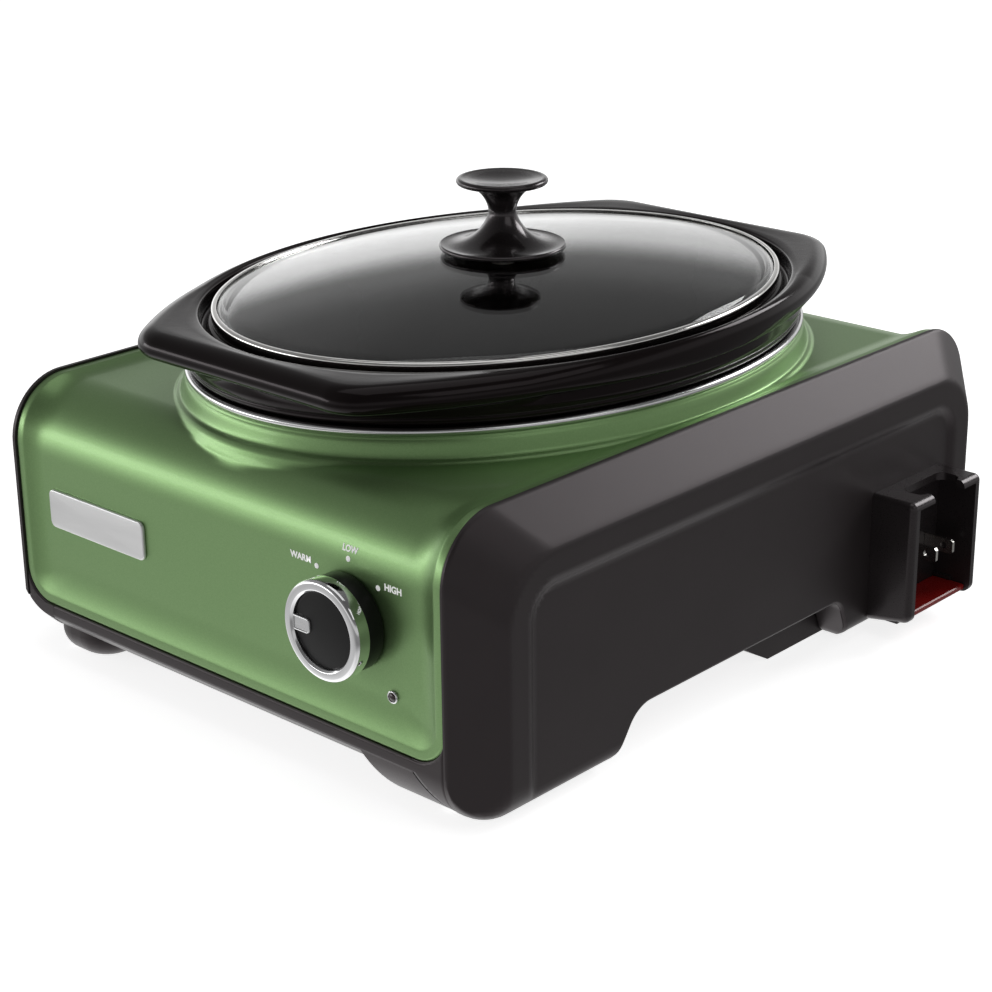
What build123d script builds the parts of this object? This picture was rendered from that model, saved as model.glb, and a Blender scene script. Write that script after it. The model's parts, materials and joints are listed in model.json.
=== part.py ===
from build123d import *
import math
import os

# Slow cooker: sheet-steel wrap between two moulded end caps, an oval heating pan
# with a lift-out stoneware crock and glass lid, a rotary heat switch on the front
# and side-by-side plug-in power: blades in a housing on the right end, a socket
# in a pocket on the left end.  Millimetres, X right, Y back, Z up, floor at Z 0.
# The working frame has the lid's centre on the Z axis; everything is moved to the
# centre of the overall box at the very end.

# ---------------------------------------------------------------- driving sizes
W2 = 118.0            # half width of the sheet wrap
DW = 160.7            # half depth of the wrap
Z_TOP = 115.0         # flat top of the wrap
R_TOP = 25.0          # bend from front to top
SHEET = 1.2           # wrap sheet
Z_HEM = 24.0          # lower edge of the wrap
R_PANEL = 14.0        # lower corners of the front and rear panels
HEM = 4.0             # flat hem left around the drawn-in panel
DISH = 2.5            # how far the panel is drawn in behind the hem
R_DISH = 35.0         # its bend from front to top, easier than the hem's

PROUD = 0.8           # end caps stand this much proud of the wrap
D2 = DW + PROUD       # half depth of the caps
Z_CAP = Z_TOP + PROUD
R_CAP = R_TOP + PROUD
CAP_T = 17.1          # end cap outside the wrap
LIP = 1.6             # straight lip beside the wrap, then the bevel
DROP = 16.8           # height lost over the bevel
XO = W2 + CAP_T       # outer face of the caps
R_ROLL = 20.0         # rolled-under front and rear bottom
R_SIDE = 15.0         # rounding of the outer bottom edge
WALL = 3.0            # moulded wall
Z_FOOT = 0.8          # underside of the plastic, pads below
RIM_W = 9.5           # flat rim around the recessed side panel
RECESS = 2.5          # depth of that recess
RAMP = 4.5            # width of the slope into it
ARCH_Z = 21.3         # roof of the hand grip between the feet
ARCH_F0, ARCH_F1 = -87.0, -72.5   # front foot: heel at floor, corner at the roof
ARCH_R1, ARCH_R0 = 57.0, 65.0     # rear foot: corner at the roof, toe at floor

FRAME_R = 19.5        # outer radius of the black frame round the panel's lower left corner
Z_SILL = 18.7         # base strip under the wrap ends, 45 degree slope starts
Z_BASE = 13.4         # underside of the base

PAN_A, PAN_B = 107.0, 139.0       # heating pan, outside half axes
PAN_T = 1.0
PAN_Z0 = 30.0
BEAD_R = 1.6
BEAD_Z = 123.7                    # centre of the rolled rim
BEAD_A, BEAD_B = 109.0, 141.0

FL_X = 110.5          # crock flange at the middle of its side
FL_R = 226.0          # flange side arc
FL_Y = 146.5          # straight ends of the flange
FL_C = 20.0           # its four corners
FL_Z0, FL_Z1 = 134.8, 145.2
CROCK_Z0 = 37.0
BOWL_A, BOWL_B = 95.0, 122.0      # bowl opening half axes
BOWL_Z0 = 44.0
SEAT_A, SEAT_B = 106.2, 134.6     # seat for the lid

LID_A, LID_B = 101.8, 129.6       # lid rim half axes
LID_Z0, LID_Z1 = 141.4, 145.7
GLASS_T = 3.0
APEX = 157.9
KNOB_TOP = 187.6

DIAL_X, DIAL_Z = 70.1, 66.7       # rotary switch axis
DIAL_R = 18.9
DIAL_OUT = 14.3                   # dial face in front of the panel
LED_X, LED_Z, LED_R = 91.3, 43.4, 2.5
BADGE_X, BADGE_Z, BADGE_W, BADGE_H = -71.6, 66.5, 58.5, 16.0

HX1 = 153.0                       # mouth of the plug housing
HY0, HY1 = 76.4, 127.5
HZ1 = 62.5
HZ0, HZ0M = 6.8, 10.2             # underside at the panel and at the mouth
H_WALL = 4.5
BLADE_Y = (102.1, 114.8)          # blades 12.7 apart
BLADE_Z = 32.0
BLADE_TIP = 149.0
TAB_Z0, TAB_Z1 = 10.5, 13.1       # lock tab
TAB_TRAVEL = 10.0

XC = (HX1 - XO) / 2               # middle of the overall box
YC = (D2 - DW + DISH - DIAL_OUT) / 2

os.makedirs("parts", exist_ok=True)


# ---------------------------------------------------------------- helpers
def round_poly(pts, radii):
    n = len(pts)
    corners = []
    for i in range(n):
        p = Vector(pts[i][0], pts[i][1], 0)
        a = Vector(pts[i - 1][0], pts[i - 1][1], 0)
        b = Vector(pts[(i + 1) % n][0], pts[(i + 1) % n][1], 0)
        r = radii[i]
        if r < 1e-6:
            corners.append((p, None, p))
            continue
        u = (a - p).normalized()
        v = (b - p).normalized()
        half = math.radians(u.get_angle(v)) / 2
        w = (u + v).normalized()
        c = p + w * (r / math.sin(half))
        t = r / math.tan(half)
        corners.append((p + u * t, c - w * r, p + v * t))
    edges = []
    for i in range(n):
        s, m, e = corners[i]
        if m is not None:
            edges.append(ThreePointArc(s, m, e))
        nxt = corners[(i + 1) % n][0]
        if (nxt - e).length > 1e-6:
            edges.append(Line(e, nxt))
    return make_face(edges)


def poly(pts):
    return round_poly(pts, [0.0] * len(pts))


def prism_x(face, x0, x1):
    return extrude(Plane.YZ.offset(x0) * face, amount=x1 - x0)


def prism_y(face, y0, y1):
    return extrude(Plane.XZ.offset(-y1) * face, amount=y1 - y0)


def prism_z(face, z0, z1):
    return extrude(Pos(0, 0, z0) * face, amount=z1 - z0)


def box(x0, x1, y0, y1, z0, z1):
    return Pos((x0 + x1) / 2, (y0 + y1) / 2, (z0 + z1) / 2) * Box(x1 - x0, y1 - y0, z1 - z0)


def cyl_x(y, z, r, x0, x1):
    return extrude(Plane.YZ.offset(x0) * Pos(y, z) * Circle(r), amount=x1 - x0)


def cyl_y(x, z, r, y0, y1):
    return extrude(Plane.XZ.offset(-y1) * Pos(x, z) * Circle(r), amount=y1 - y0)


def cyl_z(x, y, r, z0, z1):
    return Pos(x, y, (z0 + z1) / 2) * Cylinder(r, z1 - z0)


def oval(a, b, z):
    return Pos(0, 0, z) * Ellipse(a, b)


def oval_stack(rows):
    return loft([oval(a, b, z) for a, b, z in rows], ruled=True)


def solid(part):
    found = part.solids()
    return found[0] if len(found) == 1 else Compound(children=list(found))


def mirror_x(part):
    return mirror(part, about=Plane.YZ)


def mirror_y(part):
    return mirror(part, about=Plane.XZ)


NODES = {}


# ---------------------------------------------------------------- sheet wrap
def wrap_face(t):
    return round_poly(
        [(-DW + t, -20), (DW - t, -20), (DW - t, Z_TOP - t), (-DW + t, Z_TOP - t)],
        [0, 0, R_TOP - t, R_TOP - t])


def dish_face(t):
    d = DISH + t
    return round_poly(
        [(-DW + d, -20), (DW - d, -20), (DW - d, Z_TOP - d), (-DW + d, Z_TOP - d)],
        [0, 0, R_DISH - t, R_DISH - t])


def dish_area(t):
    x, z = W2 - HEM + t, Z_HEM + HEM - t
    r = R_PANEL - HEM + t
    return prism_y(round_poly([(-x, z), (x, z), (x, 200), (-x, 200)], [r, r, 0, 0]), -DW - 1, DW + 1)


COL_Z = BEAD_Z - 1.7              # top of the drawn collar, just under the pan's rim
wrap = prism_x(wrap_face(0), -W2, W2) - (dish_area(0) - prism_x(dish_face(0), -W2 - 1, W2 + 1))
hollow = prism_x(wrap_face(SHEET), -W2 - 1, W2 + 1) - (dish_area(SHEET) - prism_x(dish_face(SHEET), -W2 - 2, W2 + 2))
wrap += oval_stack([(117.3, 149.3, COL_Z - 15.2), (109.6, 141.6, COL_Z)])
wrap -= hollow
wrap -= oval_stack([(116.05, 148.05, COL_Z - 15.3), (108.3, 140.3, COL_Z + 0.1)])
wrap -= box(-W2 - 1, W2 + 1, -DW - 1, DW + 1, -30, Z_HEM)
for sx in (-1, 1):
    corner = box(min(sx * W2, sx * (W2 - R_PANEL)), max(sx * W2, sx * (W2 - R_PANEL)),
                 -DW - 1, DW + 1, Z_HEM, Z_HEM + R_PANEL)
    corner -= cyl_y(sx * (W2 - R_PANEL), Z_HEM + R_PANEL, R_PANEL, -DW - 2, DW + 2)
    wrap -= corner
wrap -= cyl_y(DIAL_X, DIAL_Z, 5.0, -DW - 2, -DW + 5)
wrap -= cyl_y(LED_X, LED_Z, LED_R - 0.25, -DW - 2, -DW + 5)
NODES["wrap_shell"] = wrap

# ---------------------------------------------------------------- heating pan
PAN_ROWS = [(95.0, 127.0, PAN_Z0), (100.0, 132.0, PAN_Z0 + 1.6), (104.0, 136.0, PAN_Z0 + 4.6),
            (106.2, 138.2, PAN_Z0 + 8.6), (PAN_A, PAN_B, PAN_Z0 + 13.0), (PAN_A, PAN_B, BEAD_Z)]
pan = oval_stack(PAN_ROWS)
pan -= oval_stack([(a - PAN_T, b - PAN_T, z + (PAN_T if i < 5 else 5.0)) for i, (a, b, z) in enumerate(PAN_ROWS)])
pan += prism_z(Ellipse(BEAD_A + BEAD_R, BEAD_B + BEAD_R) - Ellipse(PAN_A - PAN_T, PAN_B - PAN_T),
               BEAD_Z - 1.2, BEAD_Z + BEAD_R)
NODES["heating_pan"] = pan

NODES["heater_band"] = prism_z(Ellipse(PAN_A + 1.4, PAN_B + 1.4) - Ellipse(PAN_A + 0.2, PAN_B + 0.2), 46.0, 84.0)
sleeve = prism_z(Ellipse(PAN_A + 4.6, PAN_B + 4.6) - Ellipse(PAN_A + 1.7, PAN_B + 1.7), 45.0, 104.0)
sleeve -= box(-17, 17, 130, 150, 44, 72)
NODES["insulation_sleeve"] = sleeve
TERM_Y = PAN_B + 5.0
NODES["heater_terminals"] = [box(-7, 7, PAN_B + 1.5, PAN_B + 6.8, 52, 56), box(-7, 7, PAN_B + 1.5, PAN_B + 6.8, 62, 66)]

# bracket and bolt that draw the pan down on the base
ZB = Z_BASE + 2.5                 # inside floor of the base
bracket = box(-28, 28, -10, 10, PAN_Z0 - 1.6, PAN_Z0 - 0.1) + box(-28, -26.5, -10, 10, ZB + 2.1, PAN_Z0 - 0.1) \
    + box(26.5, 28, -10, 10, ZB + 2.1, PAN_Z0 - 0.1) + box(-28, 28, -10, 10, ZB + 2.1, ZB + 3.6)
bracket -= cyl_z(0, 0, 2.7, ZB, ZB + 5)
NODES["pan_bracket"] = bracket
NODES["pan_bolt"] = cyl_z(0, 0, 5.0, Z_BASE - 3.1, Z_BASE - 0.1) + cyl_z(0, 0, 2.5, Z_BASE - 0.5, ZB + 9.0) \
    - Pos(0, 0, Z_BASE - 3.1) * Box(8, 1.2, 2.4)
NODES["pan_nut"] = prism_z(RegularPolygon(4.6, 6) - Circle(2.55), ZB + 3.7, ZB + 7.4)

FZ = PAN_Z0 - 4.6
NODES["thermal_fuse"] = cyl_x(30, FZ, 4.0, 34, 52)
NODES["fuse_clip"] = box(40, 46, 22, 38, PAN_Z0 - 0.5, PAN_Z0 - 0.05) \
    + box(40, 46, 25.2, 25.8, FZ - 2.9, PAN_Z0 - 0.05) + box(40, 46, 34.2, 34.8, FZ - 2.9, PAN_Z0 - 0.05)

# ---------------------------------------------------------------- end caps
SLOPE = DROP / (CAP_T - LIP)


def ring(inset, z0, r_top, r_low):
    return round_poly([(-D2 + inset, z0), (D2 - inset, z0), (D2 - inset, Z_CAP - inset), (-D2 + inset, Z_CAP - inset)],
                      [r_low, r_low, r_top, r_top])


def bevel(x0, x1, extra, r):
    def at(x):
        t = SLOPE * (x - W2 - LIP) + extra
        return Plane.YZ.offset(x) * ring(t, -40, r - 0.12 * t, 0)
    return loft([at(x0), at(x1)], ruled=True)


def side_face(x1, z0, r):
    return prism_y(round_poly([(W2 - 2, z0), (x1, z0), (x1, Z_CAP + 5), (W2 - 2, Z_CAP + 5)], [0, r, 0, 0]),
                   -D2 - 1, D2 + 1)


def edges_at_x(part, x):
    found = []
    for e in part.edges():
        bb = e.bounding_box()
        if abs(bb.min.X - x) < 1e-3 and abs(bb.max.X - x) < 1e-3:
            found.append(e)
    return found


ARCH = round_poly([(ARCH_F0, -8), (ARCH_R0, -8), (ARCH_R0, 0), (ARCH_R1, ARCH_Z), (ARCH_F1, ARCH_Z), (ARCH_F0, 0)],
                  [0, 0, 6, 8, 14, 5])
ARCH_OUT = round_poly([(ARCH_F0 - 4, -8), (ARCH_R0 + 4, -8), (ARCH_R0 + 4, 0), (ARCH_R1 + 2.6, ARCH_Z + WALL),
                       (ARCH_F1 - 1.8, ARCH_Z + WALL), (ARCH_F0 - 4, 0)], [0, 0, 4, 12, 16, 5])


def cap_right():
    outer = prism_x(ring(0, Z_FOOT, R_CAP, R_ROLL), W2, XO + 2)
    outer &= bevel(W2 + LIP - 3, XO + 1, 0, R_CAP)
    outer &= side_face(XO, Z_FOOT, R_SIDE)
    ridge = [e for e in edges_at_x(outer, XO) if e.center().Z > 40]
    blank = outer
    outer = fillet(ridge, 2.5)
    # recessed side panel, running out at the bottom
    y1 = D2 - DROP - RIM_W
    z1 = Z_CAP - DROP - RIM_W

    def panel(x):
        t = RAMP * (XO - x) / RECESS
        return Plane.YZ.offset(x) * round_poly([(-y1 + t, -10), (y1 - t, -10), (y1 - t, z1 - t), (-y1 + t, z1 - t)],
                                               [0, 0, 15 - 0.6 * t, 15 - 0.6 * t])
    outer -= loft([panel(XO - RECESS), panel(XO + 1)], ruled=True)
    inner = prism_x(ring(WALL, Z_FOOT + WALL, R_CAP - WALL, R_ROLL - WALL), W2 - 0.5, XO)
    inner &= bevel(W2 - 1, XO, WALL * math.sqrt(1 + SLOPE * SLOPE), R_CAP - WALL)
    inner &= side_face(XO - RECESS - WALL, Z_FOOT + WALL, R_SIDE - WALL)
    cap = outer - inner
    cap += blank & prism_x(ARCH_OUT, W2, XO - 4)
    # lip that locates inside the wrap
    a, b = DW - SHEET - 0.2, Z_TOP - SHEET - 0.2
    lip = prism_x(round_poly([(-a, 29), (a, 29), (a, b), (-a, b)], [3, 3, R_TOP - 1.4, R_TOP - 1.4]), W2 - 2.4, W2 + 2.2)
    lip -= prism_x(round_poly([(-a + 2, 31), (a - 2, 31), (a - 2, b - 2), (-a + 2, b - 2)], [1, 1, R_TOP - 3.4, R_TOP - 3.4]), W2 - 5, W2 + 3)
    lip -= box(W2 - 5, W2 + 3, -a + 2.2, a - 2.2, 20, 60)
    cap += lip
    # tongues under the panel corners, front and rear
    low = prism_y(poly([(W2 + 0.5, Z_HEM - 0.2), (101.8, Z_HEM - 0.2), (101.8, 20.0), (W2 + 0.5, 2.4)]), -D2 + 0.2, -D2 + 22)
    low &= prism_x(ring(0.2, Z_FOOT, R_CAP, R_ROLL), 100, W2 + 0.5)
    up = box(103, W2 + 0.5, -DW + DISH + SHEET + 0.3, -DW + DISH + 5, Z_HEM - 1, Z_HEM + 16)
    tongue = low + up
    cap += tongue
    cap += mirror_y(tongue)
    cap -= prism_x(ARCH, W2 - 20, XO + 5)
    return cap


base_cap = cap_right()

CY0, CY1 = (BLADE_Y[0] + BLADE_Y[1]) / 2 - 12.8, (BLADE_Y[0] + BLADE_Y[1]) / 2 + 12.8
CZ0, CZ1 = BLADE_Z - 10.3, BLADE_Z + 10.3
H_SCREWS = ((83.4, 51.5), (121.0, 51.5), (83.4, 18.7), (121.0, 18.7))
XP = XO - RECESS                   # floor of the side recess carries the housing

right = base_cap - box(XO - 20, XO + 5, CY0 - 0.2, CY1 + 0.2, CZ0 - 0.2, CZ1 + 0.2)
for y, z in H_SCREWS:
    right -= cyl_x(y, z, 1.8, XO - 15, XO + 5)

PK_Y0, PK_Y1, PK_Z1, PK_X = HY0 - 2.4, HY1 + 2.5, HZ1 + 3.5, -112.0
left = mirror_x(base_cap)
pocket = box(-XO + RECESS, PK_X + 2.5, PK_Y0 - 2.5, PK_Y1 + 2.5, Z_FOOT, PK_Z1 + 2.5)
pocket &= mirror_x(side_face(XO, Z_FOOT, R_SIDE)) + box(-W2, PK_X + 3, -D2, D2, Z_FOOT, Z_CAP)
left += pocket
left -= box(-XO - 5, PK_X, PK_Y0, PK_Y1, -2, PK_Z1)
left -= box(PK_X - 1, PK_X + 4, CY0 - 0.2, CY1 + 0.2, CZ0 - 0.2, CZ1 + 0.2)
# at the front the left end follows the panel's rounded corner
FX, FZ0, FY = -W2 + R_PANEL, Z_HEM + R_PANEL, -138.8
left -= box(-XO - 5, FX, -D2 - 5, FY, -10, FZ0) - cyl_y(FX, FZ0, FRAME_R, -D2 - 10, FY + 5)
left -= box(FX - 0.1, -100, -D2 - 5, FY, -10, 18.7)

# ---------------------------------------------------------------- base
BY = D2 - 0.5
base = prism_x(round_poly([(-BY, Z_HEM - 0.2), (-BY, Z_SILL), (-BY + 5.3, Z_BASE), (BY - 5.3, Z_BASE), (BY, Z_SILL), (BY, Z_HEM - 0.2)],
                          [0, 0.8, 1.5, 1.5, 0.8, 0]), -W2 + 0.4, W2 - 0.4)
base -= prism_x(poly([(-BY + 3, Z_HEM + 5), (-BY + 3, Z_SILL + 1.2), (-BY + 6.3, ZB), (BY - 6.3, ZB), (BY - 3, Z_SILL + 1.2), (BY - 3, Z_HEM + 5)]), -W2 - 5, W2 + 5)
base += cyl_z(0, 0, 8, ZB - 1, ZB + 2.0)
# the slope goes round the same corner
round_end = loft([Plane.XZ.offset(BY + 1) * Pos(FX, FZ0) * Circle(FRAME_R - 1), Plane.XZ.offset(BY - 5.3) * Pos(FX, FZ0) * Circle(FRAME_R + 5.3)], ruled=True)
round_end += cyl_y(FX, FZ0, FRAME_R + 5.3, -BY + 5.2, FY + 5)
base -= box(-XO - 5, FX, -D2 - 5, FY, -10, FZ0) - round_end
foot_xz = round_poly([(76.2, Z_SILL), (92.0, Z_FOOT), (117.0, Z_FOOT), (117.4, 1.9), (101.7, 19.6), (101.7, Z_SILL)], [0, 5, 0, 0, 0, 0])


def foot(y0, y1):
    f = prism_y(foot_xz, y0, y1)
    f &= prism_x(ring(0.5, Z_FOOT, R_CAP, R_ROLL), 60, W2)
    return f


front_foot = foot(-BY, -95.0)
rear_foot = mirror_y(foot(-BY, -15.0))
# full-width runner between the rear tongue and the grip, its front end cut to a slope
rear_foot += box(101.0, W2 - 0.6, 15.0, 138.8, Z_FOOT, Z_SILL)
rear_foot -= prism_x(poly([(10, 11.8), (10, -2), (33.5, -2)]), 60, W2 + 5)
cut_t = prism_y(poly([(W2 + 2, Z_HEM + 2), (101.6, Z_HEM + 2), (101.6, 19.8), (W2 + 2, 0.4)]), -D2 - 2, -D2 + 22.4)
left_foot = extrude(Pos(-97, -130, Z_FOOT) * RectangleRounded(36, 50, 15), amount=Z_BASE + 1 - Z_FOOT)
left_foot = fillet(left_foot.edges().group_by(Axis.Z)[0], 9)
base += front_foot + rear_foot + left_foot + mirror_x(rear_foot)
for t in (cut_t, mirror_y(cut_t), box(-W2 - 5, -101.6, -D2 - 2, FY + 0.3, 18.5, Z_HEM + 5), mirror_x(mirror_y(cut_t))):
    base -= t
base -= box(-W2 - 5, PK_X + 3.0, PK_Y0 - 3.0, PK_Y1 + 3.0, -2, 40)
base -= box(-W2 - 5, W2 + 5, -D2 - 5, D2 + 5, -5, Z_FOOT)
base -= cyl_z(0, 0, 2.7, 0, 30)
PADS = ((97, -122), (97, 122), (-97, -122), (-97, 122))
for x, y in PADS:
    base -= cyl_z(x, y, 7.2, 0, 2.6)
SCREWS = ((107, -146), (107, 146), (-107, -146), (-107, 146))
for x, y in SCREWS:
    base -= cyl_z(x, y, 3.8, -1, 4.9)
    base -= cyl_z(x, y, 1.9, 0, 20)
NODES["rubber_feet"] = [fillet((cyl_z(x, y, 7.0, 0, 2.5)).edges().group_by(Axis.Z)[0], 0.6) for x, y in PADS]

screws = []
for x, y in SCREWS:
    right -= cyl_z(x, y, 1.7, 4, 21)
    left -= cyl_z(x, y, 1.7, 4, 21)
    s = cyl_z(x, y, 3.4, 2.4, 4.8) + cyl_z(x, y, 1.6, 4.5, 20.0)
    s -= Pos(x, y, 2.4) * Box(4.4, 1.0, 1.8)
    s -= Pos(x, y, 2.4) * Box(1.0, 4.4, 1.8)
    screws.append(s)
NODES["right_end_cap"] = right
NODES["left_end_cap"] = left
NODES["base_pan"] = base
NODES["base_screws"] = screws

# ---------------------------------------------------------------- crock
def flange_face(grow, ends):
    cx = FL_X - FL_R
    r = FL_R + grow
    y = FL_Y + grow
    x_end = cx + math.sqrt(r * r - y * y)
    rc = ends
    # corner arc between the end line and the side arc
    yc = y - rc
    xc = cx + math.sqrt((r - rc) ** 2 - yc * yc)
    k = r / (r - rc)
    tx, ty = cx + (xc - cx) * k, yc * k
    mx, my = (tx + xc) / 2, (ty + y) / 2
    dx, dy = mx - xc, my - yc
    d = math.hypot(dx, dy)
    mid = (xc + dx / d * rc, yc + dy / d * rc)
    e = []
    e.append(ThreePointArc((tx, -ty), (cx + r, 0), (tx, ty)))
    e.append(ThreePointArc((tx, ty), mid, (xc, y)))
    e.append(Line((xc, y), (-xc, y)))
    e.append(ThreePointArc((-xc, y), (-mid[0], mid[1]), (-tx, ty)))
    e.append(ThreePointArc((-tx, ty), (-cx - r, 0), (-tx, -ty)))
    e.append(ThreePointArc((-tx, -ty), (-mid[0], -mid[1]), (-xc, -y)))
    e.append(Line((-xc, -y), (xc, -y)))
    e.append(ThreePointArc((xc, -y), (mid[0], -mid[1]), (tx, -ty)))
    return make_face(e)


flange = prism_z(flange_face(0, FL_C), FL_Z0, FL_Z1)
flange = fillet(flange.edges().group_by(Axis.Z)[-1], 3.0)
flange = fillet(flange.edges().group_by(Axis.Z)[0], 3.0)
BAND_Z = BEAD_Z + BEAD_R + 0.3     # the crock hangs on the pan's rim
crock = flange + oval_stack([(88, 120, CROCK_Z0), (95, 127, CROCK_Z0 + 2), (99.5, 131.5, CROCK_Z0 + 6.5),
                             (102, 134, CROCK_Z0 + 14), (103.4, 135.4, BAND_Z)])
crock += prism_z(Ellipse(108.6, 140.6), BAND_Z, FL_Z0 + 1)
crock -= prism_z(Ellipse(SEAT_A, SEAT_B), LID_Z0 - 0.3, FL_Z1 + 5)
crock -= prism_z(Ellipse(SEAT_A, SEAT_B) - Ellipse(SEAT_A - 3.2, SEAT_B - 3.2), LID_Z0 - 3.8, FL_Z1)
crock -= oval_stack([(80, 107, BOWL_Z0), (87, 114, BOWL_Z0 + 2.5), (91, 118, BOWL_Z0 + 8),
                     (92.5, 119.5, BOWL_Z0 + 16), (BOWL_A, BOWL_B, LID_Z0 + 1)])
NODES["crock"] = crock

# ---------------------------------------------------------------- lid
ga, gb = LID_A - 1.0, LID_B - 1.0
rise = APEX - (LID_Z1 - 0.7)
rs = (ga * ga + rise * rise) / (2 * rise)
zc = APEX - rs
cap_top = Pos(0, 0, zc) * Sphere(rs)
cap_in = Pos(0, 0, zc) * Sphere(rs - GLASS_T)
blank = cyl_z(0, 0, ga, LID_Z0 + 0.8, APEX + 5)
glass = (blank & cap_top) - (cyl_z(0, 0, ga - 7, LID_Z0 - 3, APEX + 5) & cap_in)
glass = scale(glass, by=(1, gb / ga, 1))
glass -= cyl_z(0, 0, 2.6, APEX - 20, APEX + 5)
NODES["lid_glass"] = glass

rim = prism_z(Ellipse(LID_A, LID_B) - Ellipse(LID_A - 0.8, LID_B - 0.8), LID_Z0, LID_Z1)
rim += prism_z(Ellipse(LID_A, LID_B) - Ellipse(LID_A - 4.6, LID_B - 4.6), LID_Z0, LID_Z0 + 0.7)
rim += prism_z(Ellipse(LID_A, LID_B) - Ellipse(LID_A - 2.2, LID_B - 2.2), LID_Z1 - 0.05, LID_Z1 + 0.6)
NODES["lid_rim"] = rim

# turned knob: wide foot, waist, dished top disc
KZ = APEX + 0.9
KT = KNOB_TOP
DISH_R = (15.6 ** 2 + 1.9 ** 2) / 3.8
prof = make_face([
    Line((0, KZ), (24.9, KZ)),
    ThreePointArc((24.9, KZ), (25.85, KZ + 0.95), (25.2, KZ + 2.0)),
    ThreePointArc((25.2, KZ + 2.0), (11.8, KZ + 5.4), (5.6, KZ + 14.6)),
    ThreePointArc((5.6, KZ + 14.6), (8.2, KZ + 21.6), (16.9, KT - 2.6)),
    ThreePointArc((16.9, KT - 2.6), (18.55, KT - 1.4), (17.3, KT)),
    Line((17.3, KT), (15.6, KT)),
    ThreePointArc((15.6, KT), (8.0, KT - 1.9 + DISH_R - math.sqrt(DISH_R ** 2 - 64)), (0, KT - 1.9)),
    Line((0, KT - 1.9), (0, KZ)),
])
lid_knob = revolve(Plane.XZ * prof, Axis.Z)
lid_knob -= cyl_z(0, 0, 2.1, KZ - 1, KZ + 16)
NODES["lid_knob"] = lid_knob
NODES["lid_gasket"] = cyl_z(0, 0, 11, APEX + 0.05, APEX + 0.85) - cyl_z(0, 0, 2.6, APEX - 1, APEX + 2)
NODES["lid_washer"] = cyl_z(0, 0, 8, APEX - GLASS_T - 1.5, APEX - GLASS_T - 0.3) - cyl_z(0, 0, 2.2, APEX - 10, APEX)
screw = cyl_z(0, 0, 5.0, APEX - GLASS_T - 4.2, APEX - GLASS_T - 1.55) + cyl_z(0, 0, 2.05, APEX - GLASS_T - 2, KZ + 14)
screw -= Pos(0, 0, APEX - GLASS_T - 4.2) * Box(8.0, 1.2, 2.0)
NODES["lid_screw"] = screw

# ---------------------------------------------------------------- front controls
YF = -DW + DISH                   # drawn-in panel
sw = box(DIAL_X - 17, DIAL_X + 17, YF + 3.7, YF + 22, DIAL_Z - 17, DIAL_Z + 17)
sw = fillet(sw.edges().filter_by(Axis.Y), 3)
sw += cyl_y(DIAL_X, DIAL_Z, 4.8, YF - 2.6, YF + 4)
for dz in (-9, 9):
    sw += box(DIAL_X - 24, DIAL_X - 16.5, YF + 10, YF + 16, DIAL_Z + dz - 0.4, DIAL_Z + dz + 0.4)
    sw += box(DIAL_X + 16.5, DIAL_X + 24, YF + 10, YF + 16, DIAL_Z + dz - 0.4, DIAL_Z + dz + 0.4)
sw -= cyl_y(DIAL_X, DIAL_Z, 3.05, YF - 5, YF + 18)
NODES["rotary_switch"] = sw
nut = extrude(Plane.XZ.offset(-(YF - 0.05)) * Pos(DIAL_X, DIAL_Z) * (RegularPolygon(8.0, 6) - Circle(4.85)), amount=2.2)
NODES["switch_nut"] = nut
shaft = cyl_y(DIAL_X, DIAL_Z, 3.0, YF - 9.8, YF + 17)
NODES["switch_shaft"] = shaft

skirt = cyl_y(DIAL_X, DIAL_Z, 18.2, YF - 7.9, YF - 0.7)
skirt -= cyl_y(DIAL_X, DIAL_Z, 16.2, YF - 5.6, YF)
skirt += cyl_y(DIAL_X, DIAL_Z, 6.0, YF - 10.1, YF - 2.9)
skirt -= cyl_y(DIAL_X, DIAL_Z, 3.02, YF - 9.85, YF)
NODES["knob_skirt"] = skirt
dial = cyl_y(DIAL_X, DIAL_Z, DIAL_R, YF - DIAL_OUT, YF - 8.0) - cyl_y(DIAL_X, DIAL_Z, 14.5, YF - 20, YF)
dial = fillet(dial.edges().group_by(Axis.Y)[0], 1.0)
NODES["knob_ring"] = dial
insert = cyl_y(DIAL_X, DIAL_Z, 14.4, YF - 13.4, YF - 8.0)
insert -= cyl_y(DIAL_X, DIAL_Z, 6.1, YF - 10.2, YF - 7)
ptr = round_poly([(-16.6, -2.9), (-5.6, -2.9), (-5.6, 2.9), (-16.6, 2.9)], [0, 1.6, 1.6, 0])
pointer = extrude(Plane.XZ.offset(-(YF - 12.2)) * Pos(DIAL_X, DIAL_Z) * ptr, amount=1.9)
insert -= extrude(Plane.XZ.offset(-(YF - 12.1)) * Pos(DIAL_X, DIAL_Z) * offset(ptr, 0.1), amount=5)
pointer &= cyl_y(DIAL_X, DIAL_Z, 14.45, YF - 20, YF)
NODES["knob_insert"] = insert
NODES["knob_pointer"] = pointer

bez = cyl_y(LED_X, LED_Z, LED_R, YF - 1.1, YF - 0.02) + cyl_y(LED_X, LED_Z, LED_R - 0.4, YF - 0.5, YF + 6)
bez -= cyl_y(LED_X, LED_Z, LED_R - 0.75, YF - 5, YF + 10)
NODES["pilot_bezel"] = bez
lens = cyl_y(LED_X, LED_Z, LED_R - 0.8, YF - 1.3, YF + 5)
lens = fillet(lens.edges().group_by(Axis.Y)[0], 0.8)
NODES["pilot_lens"] = lens
NODES["pilot_lamp"] = cyl_y(LED_X, LED_Z, LED_R - 0.85, YF + 5.2, YF + 17)

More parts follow.
